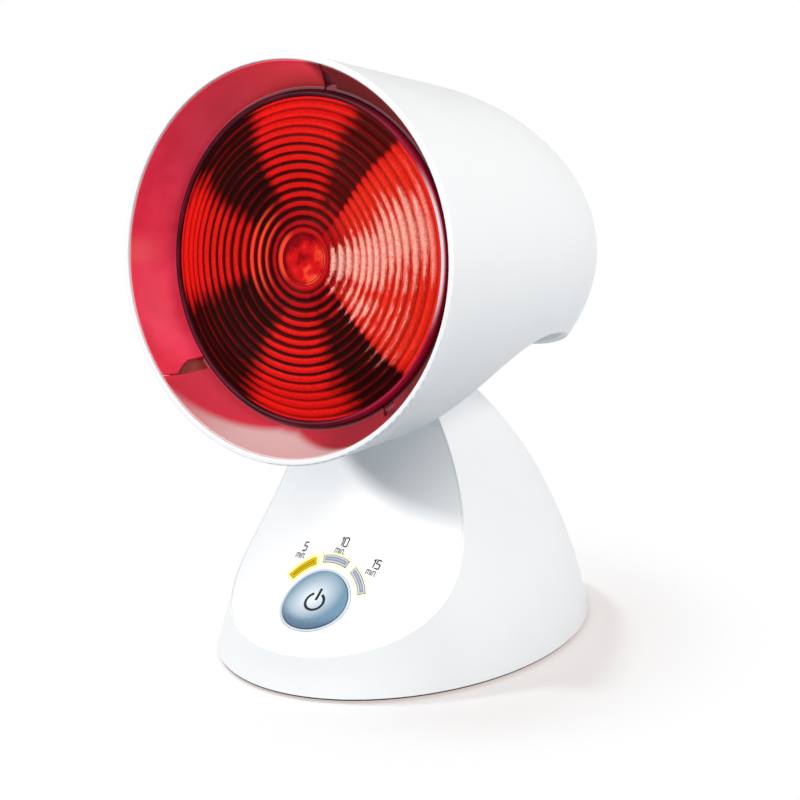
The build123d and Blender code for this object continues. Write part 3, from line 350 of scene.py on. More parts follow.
def guide_polar(made):
    """(x, distance from the button's middle, turn past the nearest light guide's middle)."""
    x, y, _ = made.parts(made.place(BUTTON_SPOT, PANEL_TURN))
    turn = made.math("ABSOLUTE", made.math("ARCTAN2", x, y))
    half = GUIDE_STEP / 2
    return x, made.length(x, y), made.off(made.off(turn, half), half)


def make_panel_white():
    """Glossy white panel with light spread in it round the three guides, yellow round the left one."""
    made = Finish("panel_white", (242, 243, 244), 0.4)
    x, reach, folded = guide_polar(made)
    past = made.highest(made.less(folded, GUIDE_HALF_SPAN), 0.0)
    beyond = made.highest(made.less(made.off(reach, GUIDE_MIDDLE_R), GUIDE_HALF_WIDTH), 0.0)
    away = made.length(made.times(past, GUIDE_MIDDLE_R), beyond)
    glow = made.math("POWER", made.ease(away, GLOW_REACH, 0.0), 0.8)
    left = made.span(x, -6 * MM, -7 * MM)
    halo = made.mix(left, (248, 242, 196), (250, 232, 112))
    plain = made.drift((243, 244, 245), (240, 241, 243), 26.0)
    made.paint(made.mix(glow, plain, halo))
    made.grain(3000.0, 0.04)


def head_polar(made):
    """(depth, distance from the axis, angle from the right towards the top) in the head's frame."""
    x, y, depth = made.parts(made.place(RIM, HEAD_TURN))
    return depth, made.length(x, y), made.math("ARCTAN2", made.times(y, -1.0), x)


# painted light and shade on the lens: brightness of the reflector behind it by angle, degrees from the right
# towards the top
WEDGES = ((-180, 1.0), (-165, 0.95), (-153, 0.3), (-145, 0.0), (-122, 0.0), (-112, 0.3), (-103, 0.75),
          (-95, 1.0), (-80, 1.0), (-70, 0.7), (-62, 0.4), (-54, 0.1), (-48, 0.0), (-38, 0.0), (-34, 1.0),
          (52, 1.0), (56, 0.0), (64, 0.0), (70, 0.15), (78, 0.6), (88, 1.0), (115, 1.0), (122, 0.5),
          (128, 0.1), (134, 0.0), (147, 0.0), (155, 0.3), (165, 0.7), (174, 1.0), (180, 1.0))
CLEAR = (-34, 52)              # the clear, bright wedge on the right


class LensField:
    """Where a point of the lens is, in terms of its ribs, and the noises that break up its pattern."""

    def __init__(self, made):
        self.made = made
        _, self.reach, self.angle = head_polar(made)
        share = made.scaled(self.reach, LENS_EYE_R, 1 / (LENS_CLEAR_R - LENS_EYE_R))
        crowded = made.plus(1.0 - RIB_CROWDING, made.times(share, RIB_CROWDING))
        ribs = made.times(share, crowded, LENS_RIBS)
        rib = made.math("FLOOR", ribs)
        self.phase = made.math("FRACT", ribs)
        self.crest = made.less(1.0, made.math("ABSOLUTE", made.scaled(self.phase, 0.5, 2.0)))
        self.side = made.math("COSINE", self.angle)
        streaky = made.vector(made.times(self.angle, 8.0), made.times(self.reach, 1500.0))
        self.hair = made.noise(1.0, 4.0, streaky, 0.6)
        by_rib = made.vector(made.times(self.angle, 3.2), made.times(rib, 1.7), 4.0)
        self.drift = made.noise(1.0, 2.0, by_rib)
        self.fleck = made.noise(1100.0, 4.0)

    def zone(self, start, end, soft):
        """One between two angles in degrees, zero outside, with soft ends."""
        rise = self.made.ease(self.angle, radians(start - soft), radians(start + soft))
        drop = self.made.ease(self.angle, radians(end + soft), radians(end - soft))
        return self.made.times(rise, drop)


def lens_brightness(made, field):
    """Painted light and shade: bright and dark wedges, with painted shade in the dark grooves between the ribs."""
    reach, crest, hair = field.reach, field.crest, field.hair
    stops = [((turn + 180) / 360, value) for turn, value in WEDGES]
    wedge = made.ramp(made.span(field.angle, -pi, pi), stops)
    wedge = made.highest(wedge, made.ease(reach, 31 * MM, 15 * MM, 0.0, 0.62))
    loose = made.plus(made.scaled(crest, 0.5, 0.3), made.scaled(field.drift, 0.5, 0.7))
    lit = made.plus(wedge, loose, made.scaled(hair, 0.5, 0.5))
    lit = made.ease(lit, 0.12, 0.86)

    # the painted groove shade is widest inside, thin outside, and hardly shows where the light comes through
    width = made.span(reach, 14 * MM, 50 * MM, 0.84, 0.44)
    wavy = made.plus(crest, made.scaled(hair, 0.5, 0.3))
    groove = made.less(1.0, made.ease(made.math("DIVIDE", wavy, width), 0.35, 1.0))
    clear = made.span(field.zone(*CLEAR, 4.0), 0.0, 1.0, 1.0, 0.4)
    groove = made.times(groove, made.span(reach, 42 * MM, 52 * MM, 0.95, 0.5), clear)
    # painted shade across each rib, darker towards the next groove
    shaded = made.span(field.phase, 0.15, 1.0, 1.0, 0.66)
    flecked = made.span(field.fleck, 0.3, 0.7, 0.8, 1.1)
    glow = made.times(lit, shaded, flecked, made.less(1.0, groove))
    # painted highlight: faint bright threads along the crests
    thread = made.times(made.math("POWER", crest, 5.0), made.span(field.drift, 0.4, 0.65, 0.08, 0.3))
    return made.highest(glow, thread)


def lens_gleam(made, field):
    """Painted highlight: pale streaks along the ribs on the right, in a main patch and a smaller one below it."""
    reach, angle, crest = field.reach, field.angle, field.crest
    above = made.less(made.span(reach, 12 * MM, 48 * MM, radians(24), radians(36)), angle)
    below = made.less(angle, made.span(reach, 22 * MM, 55 * MM, radians(-16), radians(3)))
    main = made.lowest(above, below)
    ring = made.scaled(reach, 23 * MM, 60.0)
    ring = made.times(made.lowest(ring, made.less(1.15, ring)), 0.2)
    second = made.lowest(made.plus(angle, radians(29)), made.less(radians(-17), angle), ring)
    within = made.times(made.highest(main, second), 3.4)
    streaks = made.plus(made.scaled(crest, 0.62, 0.9), made.scaled(field.hair, 0.5, 2.2))
    loose = made.plus(0.35, made.scaled(field.drift, 0.5, 2.0))
    gleam = made.ease(made.plus(within, streaks, loose), 0.0, 1.0)
    ends = made.times(made.span(reach, 57 * MM, 54 * MM), made.span(reach, 8 * MM, 12 * MM))
    flecked = made.span(field.fleck, 0.3, 0.7, 0.45, 1.0)
    return made.times(gleam, ends, made.span(crest, 0.1, 0.8, 0.3, 1.1), flecked)


def lens_rib_highlight(made, field):
    """Painted highlight along the inner ribs, strongest on the left."""
    left = made.ease(field.side, -0.6, -0.97)
    belt = made.times(made.ease(field.reach, 27 * MM, 22 * MM), made.ease(field.reach, 15 * MM, 18 * MM))
    return made.times(left, belt, made.ease(field.crest, 0.45, 0.95))


def lens_disc(made, field):
    """A cloudy disc, brighter on the right with painted light, in a thin double line."""
    reach, side = field.reach, field.side
    cloud = made.plus(made.noise(120.0, 3.0), made.times(side, reach, 9.0))
    disc = made.mix(made.ease(cloud, 0.36, 0.52), (124, 8, 16), (194, 18, 22))
    disc = made.mix(made.ease(cloud, 0.52, 0.68), disc, (236, 74, 48))
    # painted light: a lit band round the disc, brightest on the left
    belt = made.mix(made.ease(side, -0.5, -0.95), (178, 18, 22), (232, 66, 44))
    disc = made.mix(made.span(reach, LENS_DISC_R, LENS_DISC_R + 0.3 * MM), disc, belt)
    for line_r in (LENS_DISC_R, LENS_DISC_R - 0.8 * MM, LENS_EYE_R - 0.2 * MM):
        line = made.band(reach, line_r, 0.28 * MM, 0.1 * MM)
        disc = made.mix(made.times(line, 0.75), disc, (70, 8, 12))
    return disc


def make_lens_red():
    """Red glass over a faceted reflector, with painted light and shade: bright and dark wedges, broken up by the
    ribs.
    """
    made = Finish("lens_red", (200, 20, 20), 0.34, specular=0.01)
    field = LensField(made)
    # painted light: the red of the lit wedges, darker towards the middle; painted shade: the red of the dark
    # wedges
    hot = made.mix(field.zone(*CLEAR, 6.0), (222, 24, 20), (236, 44, 28))
    hot = made.mix(made.ease(field.reach, 26 * MM, 14 * MM), hot, (180, 16, 22))
    dark = made.mix(field.zone(50, 86, 8.0), (34, 6, 6), (66, 8, 6))
    color = made.mix(lens_brightness(made, field), dark, hot)
    color = made.mix(made.times(lens_rib_highlight(made, field), 0.8), color, (244, 78, 48))
    color = made.mix(made.times(lens_gleam(made, field), 0.9), color, (255, 186, 170))
    eye = made.span(field.reach, LENS_EYE_R + 0.3 * MM, LENS_EYE_R - 0.1 * MM)
    made.paint(made.mix(eye, color, lens_disc(made, field)), 0.2)


def make_ring_red():
    """Dark rolled glass, made crimson on the right by painted light, with one painted highlight as a pale streak
    along it.
    """
    made = Finish("ring_red", (64, 8, 16), 0.35, specular=0.08)
    _, reach, angle = head_polar(made)
    dark = made.mix(made.span(made.noise(70.0, 2.0), 0.35, 0.65), (54, 8, 20), (88, 14, 34))
    # painted light: crimson where the rim faces right
    right = made.ease(made.math("COSINE", angle), 0.1, 0.8)
    color = made.mix(right, dark, (170, 18, 58))
    groove = made.band(reach, RING_GROOVE_R, 0.35 * MM, 0.15 * MM)
    color = made.mix(made.times(groove, 0.6), color, (40, 6, 20))
    # painted highlight: a pale streak along the bead on the upper right
    along = made.ease(made.off(angle, radians(13)), radians(32), radians(8))
    streak = made.times(made.band(reach, RING_HIGHLIGHT_R, 1.2 * MM, 0.5 * MM), along)
    made.paint(made.mix(streak, color, (255, 226, 236)))
    made.grain(800.0, 0.04)


# where the liner's colours, its painted light and its painted shade start and where they are full, in degrees from
# the right towards the top
TOP_WARMTH = (165, 100)
TOP_CORNER = (150, 92)
LEFT_GLEAM = 186
LOWER_LEFT = (224.5, 228)
PATCH_LEFT = (227, 266)
PATCH_RIGHT = (301.5, 273)
PATCH_FADE = (226, 258)
LOWER_RIGHT = (268, 296)
RIGHT = (314, 322)
TOP_JOINT = (92, 88, 84)
TURN_STARTS = 50               # angles run from here, once round


def liner_light_patch(made, turn, share):
    """Painted light: a pale patch below, pointed towards the lens, fading out on its left."""
    edge = made.lowest(made.span(turn, *PATCH_LEFT), made.span(turn, *PATCH_RIGHT))
    patch = made.ease(made.less(edge, share), -0.04, 0.26)
    return made.times(patch, made.span(edge, 0.0, 0.06), made.ease(turn, *PATCH_FADE, 0.3, 0.92))


def make_liner_red():
    """Raspberry reflector foil with painted light and shade: a slight glow, redder below with a pale patch of
    light, a highlight on the left, and shade that is darker at the lower right, then brown, in the top corner and
    along the rear edge.
    """
    made = Finish("liner_red", (196, 40, 60), 0.45, specular=0.3)
    depth, reach, angle = head_polar(made)
    share = made.scaled(depth, LINER_FRONT, 1 / (LINER_DEPTH - LINER_FRONT))
    turn = made.math("WRAP", made.times(angle, 180 / pi), TURN_STARTS + 360, TURN_STARTS)
    sweep = made.noise(1.0, 3.0, made.vector(made.times(angle, 5.0), made.times(depth, 90.0)))
    # painted shade in the top corner, deeper towards the rear
    corner = made.times(made.span(share, 0.3, 1.0), made.ease(turn, *TOP_CORNER, 0.0, 0.85))
    # painted highlight on the left
    gleam = made.ease(made.off(turn, LEFT_GLEAM), 6.0, 1.0)
    gleam = made.times(gleam, made.span(share, 0.75, 0.3, 0.0, 0.35))
    # painted shade: darker at the lower right and by the top joint, then brown over the right segment
    right = made.highest(made.ease(turn, *LOWER_RIGHT), made.span(turn, *TOP_JOINT[:2]))
    brown = made.highest(made.span(turn, *RIGHT), made.span(turn, *TOP_JOINT[1:]))
    # painted shade along the rear edge by the bulb
    rear = made.span(reach, LINER_BACK_R, LINER_BACK_R - 0.3 * MM)
    color = made.mix(made.span(sweep, 0.3, 0.7), (222, 40, 66), (242, 56, 88))
    for where, next_color in (
            (made.ease(turn, *TOP_WARMTH, 0.0, 0.8), (254, 76, 90)),
            (corner, (160, 40, 38)),
            (gleam, (240, 112, 110)),
            (made.span(turn, *LOWER_LEFT), (196, 44, 62)),
            (right, (146, 38, 50)),
            (made.times(brown, 0.9), (104, 34, 35)),
            (liner_light_patch(made, turn, share), (208, 174, 174)),
            (rear, (74, 16, 30))):
        color = made.mix(where, color, next_color)
    # painted light: the foil glows a little, standing for the bulb's red light on it
    made.paint(color, 0.19)
    made.grain(1400.0, 0.04)


def make_plain(name, color, roughness, grain=(1500.0, 0.15), metallic=0.0, coat=0.0):
    """A finish whose colour drifts a little and whose skin is finely grained."""
    made = Finish(name, color, roughness, metallic, coat)
    made.paint(made.drift(color, [part * 0.93 for part in color], 60.0))
    made.grain(*grain, rough=(roughness * 0.88, min(1.0, roughness * 1.15)))


def make_brushed(name, color, roughness):
    """Metal with fine lines along X."""
    made = Finish(name, color, roughness, metallic=1.0)
    values = {"Vector": made.place(), "Scale": (60.0, 2600.0, 2600.0)}
    lines = made.noise(1.0, 3.0, made.out("ShaderNodeMapping", values))
    made.set("Roughness", made.span(lines, 0.3, 0.7, roughness * 0.8, roughness * 1.3))
    made.bump(lines, 0.1, BRUSH_DEPTH)


def make_button_blue():
    """Pearl blue dome: a pale middle that is partly its pearl tone and partly a painted highlight, a blue edge,
    and a deep crescent of painted shade at its foot.
    """
    made = Finish("button_blue", (180, 205, 222), 0.3, coat=0.5, coat_roughness=0.08)
    x, y, _ = made.parts(made.place(BUTTON_SPOT, PANEL_TURN))
    # painted highlight: the pale spot sits off the middle, up and to the left
    tilted = made.plus(y, made.times(x, -0.25))
    reach = made.length(made.plus(x, 1.6 * MM), made.less(tilted, 1.6 * MM))
    color = made.mix(made.span(reach, 1.5 * MM, 11.5 * MM), (222, 229, 238), (98, 134, 158))
    # painted shade: the dark crescent at the foot
    foot = made.ease(made.plus(made.length(x, y), made.times(y, -0.9)), 13 * MM, 23 * MM)
    color = made.mix(foot, color, (52, 88, 120))
    pearl = made.span(made.noise(1800.0, 3.0), 0.35, 0.65, 0.0, 0.1)
    made.paint(made.mix(pearl, color, (200, 212, 224)))
    made.grain(2400.0, 0.05)


def make_guide(name, frame_color, floor_color, middle_color, edge_color, glow=0.0):
    """A moulded light guide: a raised frame round a sunk bar, with painted shade on the sunk floor and the edge.
    """
    made = Finish(name, frame_color, 0.4, specular=0.12)
    _, reach, folded = guide_polar(made)
    across = made.less(GUIDE_HALF_WIDTH, made.off(reach, GUIDE_MIDDLE_R))
    along = made.times(made.less(GUIDE_HALF_SPAN, folded), GUIDE_MIDDLE_R)
    inside = made.lowest(across, along)
    color = edge_color
    # painted shade: darker on the sunk floor and at the edge
    for start, end, inner in ((0.12, 0.3, frame_color), (0.62, 0.8, floor_color), (1.0, 1.35, middle_color)):
        color = made.mix(made.span(inside, start * MM, end * MM), color, inner)
    fine = made.span(made.noise(900.0, 3.0), 0.3, 0.7, 0.0, 0.12)
    made.paint(made.mix(fine, color, frame_color), glow)


# colour, roughness, the grain's scale and depth, how metallic, how coated
PLAIN = {
    "bulb_mirror": ((216, 216, 220), 0.14, (300.0, 0.05), 1.0),
    "black_glass": ((20, 20, 24), 0.1, (1500.0, 0.15), 0.0, 1.0),
    "ceramic": ((232, 228, 216), 0.22, (500.0, 0.08), 0.0, 0.5),
    "arm_coat": ((222, 223, 225), 0.42, (1100.0, 0.3)),
    "friction_fibre": ((112, 56, 40), 0.7, (900.0, 0.5)),
    "bezel_chrome": ((204, 214, 224), 0.38, (900.0, 0.03)),
    "board_green": ((16, 84, 44), 0.35, (700.0, 0.2)),
    "part_black": ((24, 24, 26), 0.4),
    "part_blue": ((28, 62, 142), 0.35),
    "part_yellow": ((214, 158, 40), 0.35),
    "terminal_green": ((40, 116, 68), 0.45),
    "chip_white": ((236, 236, 220), 0.3),
    "fuse_glass": ((214, 222, 222), 0.1, (1500.0, 0.15), 0.0, 1.0),
    "ballast_iron": ((46, 46, 50), 0.6, (400.0, 0.6), 0.6),
    "plate_grey": ((34, 35, 38), 0.6),
    "foot_rubber": ((22, 22, 23), 0.75, (900.0, 0.5)),
    "gland_grey": ((212, 214, 217), 0.4),
    "ink": ((9, 12, 20), 0.8, (1500.0, 0.05)),
    # painted shade: the laps are darker, standing for the shade in each notch
    "liner_lap_brown": ((150, 44, 38), 0.6, (900.0, 0.1)),
    "liner_lap_crimson": ((126, 22, 44), 0.6, (900.0, 0.1)),
}
BRUSHED = {
    "cap_metal": ((206, 204, 198), 0.32),
    "tungsten": ((110, 110, 114), 0.4),
    "contact_brass": ((206, 166, 92), 0.3),
    "zinc_steel": ((188, 190, 194), 0.3),
}
# colours of the frame, the floor round the bar, the bar and the edge, and the glow; the darker floor and edge are
# painted shade
GUIDES = {
    "guide_lit": ((222, 190, 0), (150, 112, 0), (196, 158, 0), (124, 102, 10), 0.05),
    "guide_clear": ((206, 209, 220), (112, 122, 142), (170, 178, 192), (96, 100, 114)),
}
for make in (make_shell_white, make_housing_white, make_panel_white, make_lens_red, make_ring_red,
             make_liner_red, make_button_blue):
    make()
for make, rows in ((make_plain, PLAIN), (make_brushed, BRUSHED), (make_guide, GUIDES)):
    for name, row in rows.items():
        make(name, *row)
SLOTS = {row["node"]: row["material_slot"] for row in frame["record"]["subparts"]}
BODY_OF = {node: body for body, nodes in frame["record"]["behaviour"]["bodies"].items() for node in nodes}


# ---- meshes
MERGE = 0.001 * MM             # points closer than this are one


def named(name, form, finish, body, slot, replaced=(), smooth=True):
    """Puts a finished form in the scene, on its body, in place of its nodes."""
    mesh = bpy.data.meshes.new(name)
    for face in form.faces:
        face.smooth = smooth
    form.to_mesh(mesh)
    form.free()
    mesh.materials.append(FINISHES[finish])
    piece = bpy.data.objects.new(name, mesh)
    bpy.context.scene.collection.objects.link(piece)
    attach(piece, body)
    if replaced:
        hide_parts(*replaced)


def form_of(mesh):
    """A mesh opened for editing, with its doubles merged."""
    form = bmesh.new()
    form.from_mesh(mesh)
    bmesh.ops.remove_doubles(form, verts=form.verts, dist=MERGE)
    return form


def sharpen(form, sharp):
    """Marks the edges where faces meet at more than an angle."""
    for edge in form.edges:
        edge.smooth = not (edge.is_manifold and edge.calc_face_angle(0.0) > sharp)


def dress(node, ending, form):
    """Puts a form in the scene in place of a node, in the finish of its slot."""
    slot = SLOTS[node]
    named(node + ending, form, slot, BODY_OF[node], slot, [node])


def outward(form):
    bmesh.ops.recalc_face_normals(form, faces=form.faces)


def face_along(form, way):
    """Turns an open form's faces so that they look one way."""
    outward(form)
    if sum(face.normal.dot(way) * face.calc_area() for face in form.faces) < 0:
        bmesh.ops.reverse_faces(form, faces=form.faces)


def skin(node):
    """A copy of a node in the finish of its slot, smooth apart from its real edges."""
    form = form_of(frame["nodes"][node].data)
    sharpen(form, SKIN_CREASE)
    dress(node, "_skin", form)


def surface(node):
    """A CAD node's faces, ready for rays."""
    mesh = frame["nodes"][node].data
    points = [vertex.co for vertex in mesh.vertices]
    faces = [tuple(face.vertices) for face in mesh.polygons]
    return BVHTree.FromPolygons(points, faces)


def dropped(tree, x, y, lift=0.0):
    """A point set on a surface along the panel's own normal at the button, then lifted."""
    start = PANEL @ Vector((x, y, FEEL_FROM))
    down = PANEL.to_3x3() @ Vector((0, 0, -1))
    hit = tree.ray_cast(start, down)[0]
    return hit - down * lift


def grid_mesh(name, rows, closed=False):
    """A mesh from rows of points, joined in order, with the rows' ends joined if closed."""
    mesh = bpy.data.meshes.new(name)
    across = len(rows[0])
    points = [point for row in rows for point in row]
    faces = []
    for i in range(len(rows) - 1):
        for j in range(across if closed else across - 1):
            k = (j + 1) % across
            faces.append((i * across + j, (i + 1) * across + j, (i + 1) * across + k, i * across + k))
    mesh.from_pydata(points, [], faces)
    mesh.update()
    return mesh


def on_circle(radius, turn, depth):
    """A point round the head's axis, by its angle from the right towards the bottom."""
    return HEAD @ Vector((radius * cos(turn), radius * sin(turn), depth))


def turned(name, outline):
    """A closed outline of (radius, depth) turned round the head's axis."""
    spots = [2 * pi * index / TURNS for index in range(TURNS)]
    rows = [[on_circle(radius, spot, depth) for spot in spots] for radius, depth in outline + outline[:1]]
    form = form_of(grid_mesh(name, rows, closed=True))
    outward(form)
    return form


# ---- geometry nodes
class Shape(Nodes):
    """A geometry node tree being made, with named inputs for its sizes."""

    def __init__(self, name, sizes):
        super().__init__(bpy.data.node_groups.new(name, "GeometryNodeTree"))
        face = self.tree.interface
        face.new_socket("Given", in_out="INPUT", socket_type="NodeSocketGeometry")
        self.values = {}
        for label, value in sizes.items():
            kind = "NodeSocketInt" if isinstance(value, int) else "NodeSocketFloat"
            socket = face.new_socket(label, in_out="INPUT", socket_type=kind)
            self.values[socket.identifier] = value
        face.new_socket("Geometry", in_out="OUTPUT", socket_type="NodeSocketGeometry")
        self.start = self.node("NodeGroupInput")
        self.end = self.node("NodeGroupOutput")

    def size(self, label):
        return self.start.outputs[label]

    def position(self):
        return self.parts(self.out("GeometryNodeInputPosition"))

    def moved(self, geometry, x, y, z):
        """A geometry with each of its points set to a place."""
        values = {"Geometry": geometry, "Position": self.vector(x, y, z)}
        return self.out("GeometryNodeSetPosition", values)

    def bake(self, name, result, finish, given=None):
        """Ends the tree, runs it, and gives its result as a plain mesh."""
        real = self.out("GeometryNodeRealizeInstances", [result])
        values = {"Geometry": real, "Material": FINISHES[finish]}
        done = self.out("GeometryNodeSetMaterial", values)
        self.join(done, self.end.inputs[0])
        holder = bpy.data.objects.new(name + "_maker", given or bpy.data.meshes.new(name + "_maker"))
        bpy.context.scene.collection.objects.link(holder)
        maker = holder.modifiers.new("make", "NODES")
        maker.node_group = self.tree
        for identifier, value in self.values.items():
            maker[identifier] = value
        ready = holder.evaluated_get(bpy.context.evaluated_depsgraph_get())
        mesh = bpy.data.meshes.new_from_object(ready)
        mesh.name = name
        holder.modifiers.remove(maker)
        bpy.data.objects.remove(holder)
        return mesh


# ---- lens
def lens_zone(name, inner, outer, steps, ribs=1.0, rib_height=0.0):
    """A ring of the lens's face, in the head's frame: a dished crown with round ribs."""
    made = Shape(name, {
        "Inner": inner, "Outer": outer, "Ribs": ribs, "Crowding": RIB_CROWDING, "Rib height": rib_height,
        "Crown": LENS_CROWN, "Dish": LENS_DISH, "Dish starts": LENS_DISH_R[1], "Dish ends": LENS_DISH_R[0],
        "Shoulder": LENS_SHOULDER_R, "Edge": LENS_EDGE_R, "Setback": LENS_SETBACK, "Steps": steps,
        "Turns": TURNS})
    across = made.plus(made.size("Steps"), 1)
    around = made.plus(made.size("Turns"), 1)
    values = {"Size X": 1.0, "Size Y": 1.0, "Vertices X": across, "Vertices Y": around}
    grid = made.out("GeometryNodeMeshGrid", values)
    spot = made.position()
    share = made.plus(spot[0], 0.5)
    angle = made.times(made.plus(spot[1], 0.5), 2 * pi)
    width = made.less(made.size("Outer"), made.size("Inner"))
    reach = made.plus(made.size("Inner"), made.times(share, width))
    crowded = made.times(made.size("Crowding"), made.less(share, 1.0))
    ribs_passed = made.times(share, made.plus(1.0, crowded), made.size("Ribs"))
    phase = made.math("PINGPONG", ribs_passed, 0.5)
    rib = made.times(made.math("SINE", made.times(phase, pi)), made.size("Rib height"))
    sunk = made.ease(reach, made.size("Dish starts"), made.size("Dish ends"), 0.0, made.size("Dish"))
    fall = made.ease(reach, made.size("Shoulder"), made.size("Edge"), 0.0, made.size("Crown"))
    front = made.less(made.size("Setback"), made.size("Crown"))
    depth = made.less(made.plus(front, sunk, fall), rib)
    x = made.times(reach, made.math("COSINE", angle))
    y = made.times(reach, made.math("SINE", angle))
    values = {"Geometry": made.moved(grid, x, y, depth), "Distance": MERGE}
    joined = made.out("GeometryNodeMergeByDistance", values)
    return made.bake(name, joined, "lens_red")


def make_lens():
    """The pressed face: plain disc, a low ring round it, the ribs, and a plain edge."""
    form = bmesh.new()
    for zone in (
            lens_zone("lens_eye", 0.0, LENS_DISC_R, 10),
            lens_zone("lens_eye_ring", LENS_DISC_R, LENS_EYE_R, 8, 1.0, 0.8 * LENS_RIB_H),
            lens_zone("lens_ribs", LENS_EYE_R, LENS_CLEAR_R, 8 * LENS_RIBS, float(LENS_RIBS), LENS_RIB_H),
            lens_zone("lens_edge", LENS_CLEAR_R, LENS_EDGE_R, 2)):
        form.from_mesh(zone)
    bmesh.ops.remove_doubles(form, verts=form.verts, dist=MERGE)
    form.transform(HEAD)
    face_along(form, HEAD.to_3x3() @ Vector((0, 0, -1)))
    dress("bulb_lens", "_face", form)


def make_lens_ring():
    """The bulb's rolled glass edge: a bead in front and a straight wall behind it."""
    bead_in = LENS_EDGE_R - BEAD_INSIDE
    bead_r = (BULB_R - bead_in) / 2
    middle = bead_in + bead_r
    top = LENS_SETBACK + BEAD_SETBACK
    back = LENS_SETBACK + LENS_WALL
    bead = [pi * step / 16 for step in range(17)]
    outline = [(middle - bead_r * cos(turn), top - BEAD_STRETCH * bead_r * sin(turn)) for turn in bead]
    outline += [(BULB_R, back), (bead_in, back)]
    named("bulb_ring", turned("bulb_ring", outline), "ring_red", "head", "lens_red")


# ---- liner
def liner_radius(share):
    """Radius of the liner's face from its front edge, 0, to its rear edge, 1."""
    return LINER_FRONT_R + (LINER_BACK_R - LINER_FRONT_R) * share + LINER_BOW * 4 * share * (1 - share)


def notch_turn(share):
    """How far a segment's end is cut back at a depth, in degrees: a slit, then a rounded notch."""
    into = min(1.0, max(0.0, (share - NOTCH_STARTS) / (NOTCH_ENDS - NOTCH_STARTS)))
    return NOTCH * (0.4 + 0.6 * into) * sqrt(1 - (1 - into) ** 2)


def liner_rows(start, end, notched, front, outer, behind, across, along):
    """Points over one side of a sheet, down to its rear edge, which is turned in towards the bulb."""
    spots = []
    for row in range(along + 1):
        share = front + (1 - front) * row / along
        spots.append((share, liner_radius(share) + outer, LINER_FRONT + (LINER_DEPTH - LINER_FRONT) * share))
    spots[-1] = (1.0, liner_radius(1.0) + outer, LINER_DEPTH + behind)
    spots.append((1.0, BULB_R + FLANGE_GAP, LINER_DEPTH + behind))
    rows = []
    for share, radius, depth in spots:
        first = start[0] + start[1] * share
        last = end[0] + end[1] * share - (notch_turn(share) if notched else 0.0)
        turns = [radians(first + (last - first) * column / across) for column in range(across + 1)]
        rows.append([on_circle(radius, -turn, depth) for turn in turns])
    return rows


def liner_sheet(start, end, notched, front=0.0, sink=0.0, behind=0.0, across=64, along=28):
    """A closed sheet between two edges, each given as an angle at the lip and a lean, in degrees."""
    shape = (across, along)
    inner = liner_rows(start, end, notched, front, sink, behind, *shape)
    outer = liner_rows(start, end, notched, front, sink + LINER_T, behind + FLANGE_T, *shape)
    loop = inner + outer[::-1]
    width = across + 1
    count = len(loop)
    faces = []
    for i in range(count):
        k = (i + 1) % count
        faces += [(i * width + j, k * width + j, k * width + j + 1, i * width + j + 1) for j in range(across)]
    for j in (0, across):
        for i in range(along + 1):
            mirror = count - 1 - i
            faces.append((i * width + j, (i + 1) * width + j, (mirror - 1) * width + j, mirror * width + j))
    mesh = bpy.data.meshes.new("sheet")
    mesh.from_pydata([point for row in loop for point in row], [], faces)
    form = form_of(mesh)
    outward(form)
    sharpen(form, LINER_CREASE)
    return form


def make_liner():
    """Three foil segments, each with a notched end that laps over the next one."""
    order = list(LINER_JOINTS)
    for node, following in zip(order, order[1:] + order[:1]):
        start, start_lean = LINER_JOINTS[node]
        end, end_lean = LINER_JOINTS[following]
        end += 360 if end < start else 0
        foil = liner_sheet((start + LINER_GAP, start_lean), (end - LINER_GAP, end_lean), True)
        dress(node, "_foil", foil)
        first = (end - NOTCH - LAP_UNDER, end_lean)
        last = (end + LAP_OVER, end_lean)
        lap = liner_sheet(first, last, False, LAP_FRONT, LINER_T + LAP_CLEAR, FLANGE_STEP, 10, 12)
        # a darker finish for the lap, painted shade in the notch
        finish = "liner_lap_brown" if node == "liner_left" else "liner_lap_crimson"
        named(node + "_lap", lap, finish, "head", "liner_red")


# ---- light guides
# a guide's section: how far in from its edge, and how far out of the panel, mm
GUIDE_SECTION = ((0.0, -0.35), (0.0, 0.1), (0.06, 0.17), (0.16, 0.2), (0.42, 0.2), (0.56, 0.16), (0.74, 0.05),
                 (0.9, 0.03))
GUIDE_BESIDE = 0.4 * MM        # the panel is felt this far beside a guide
GUIDE_STEPS = 24               # along a guide


def both_sides(places, inner, whole):
    """A section, places between at its last height, and the section again from the other edge."""
    middle = [(place, places[-1][1]) for place in inner]
    return places + middle + [(whole - place, height) for place, height in reversed(places)]


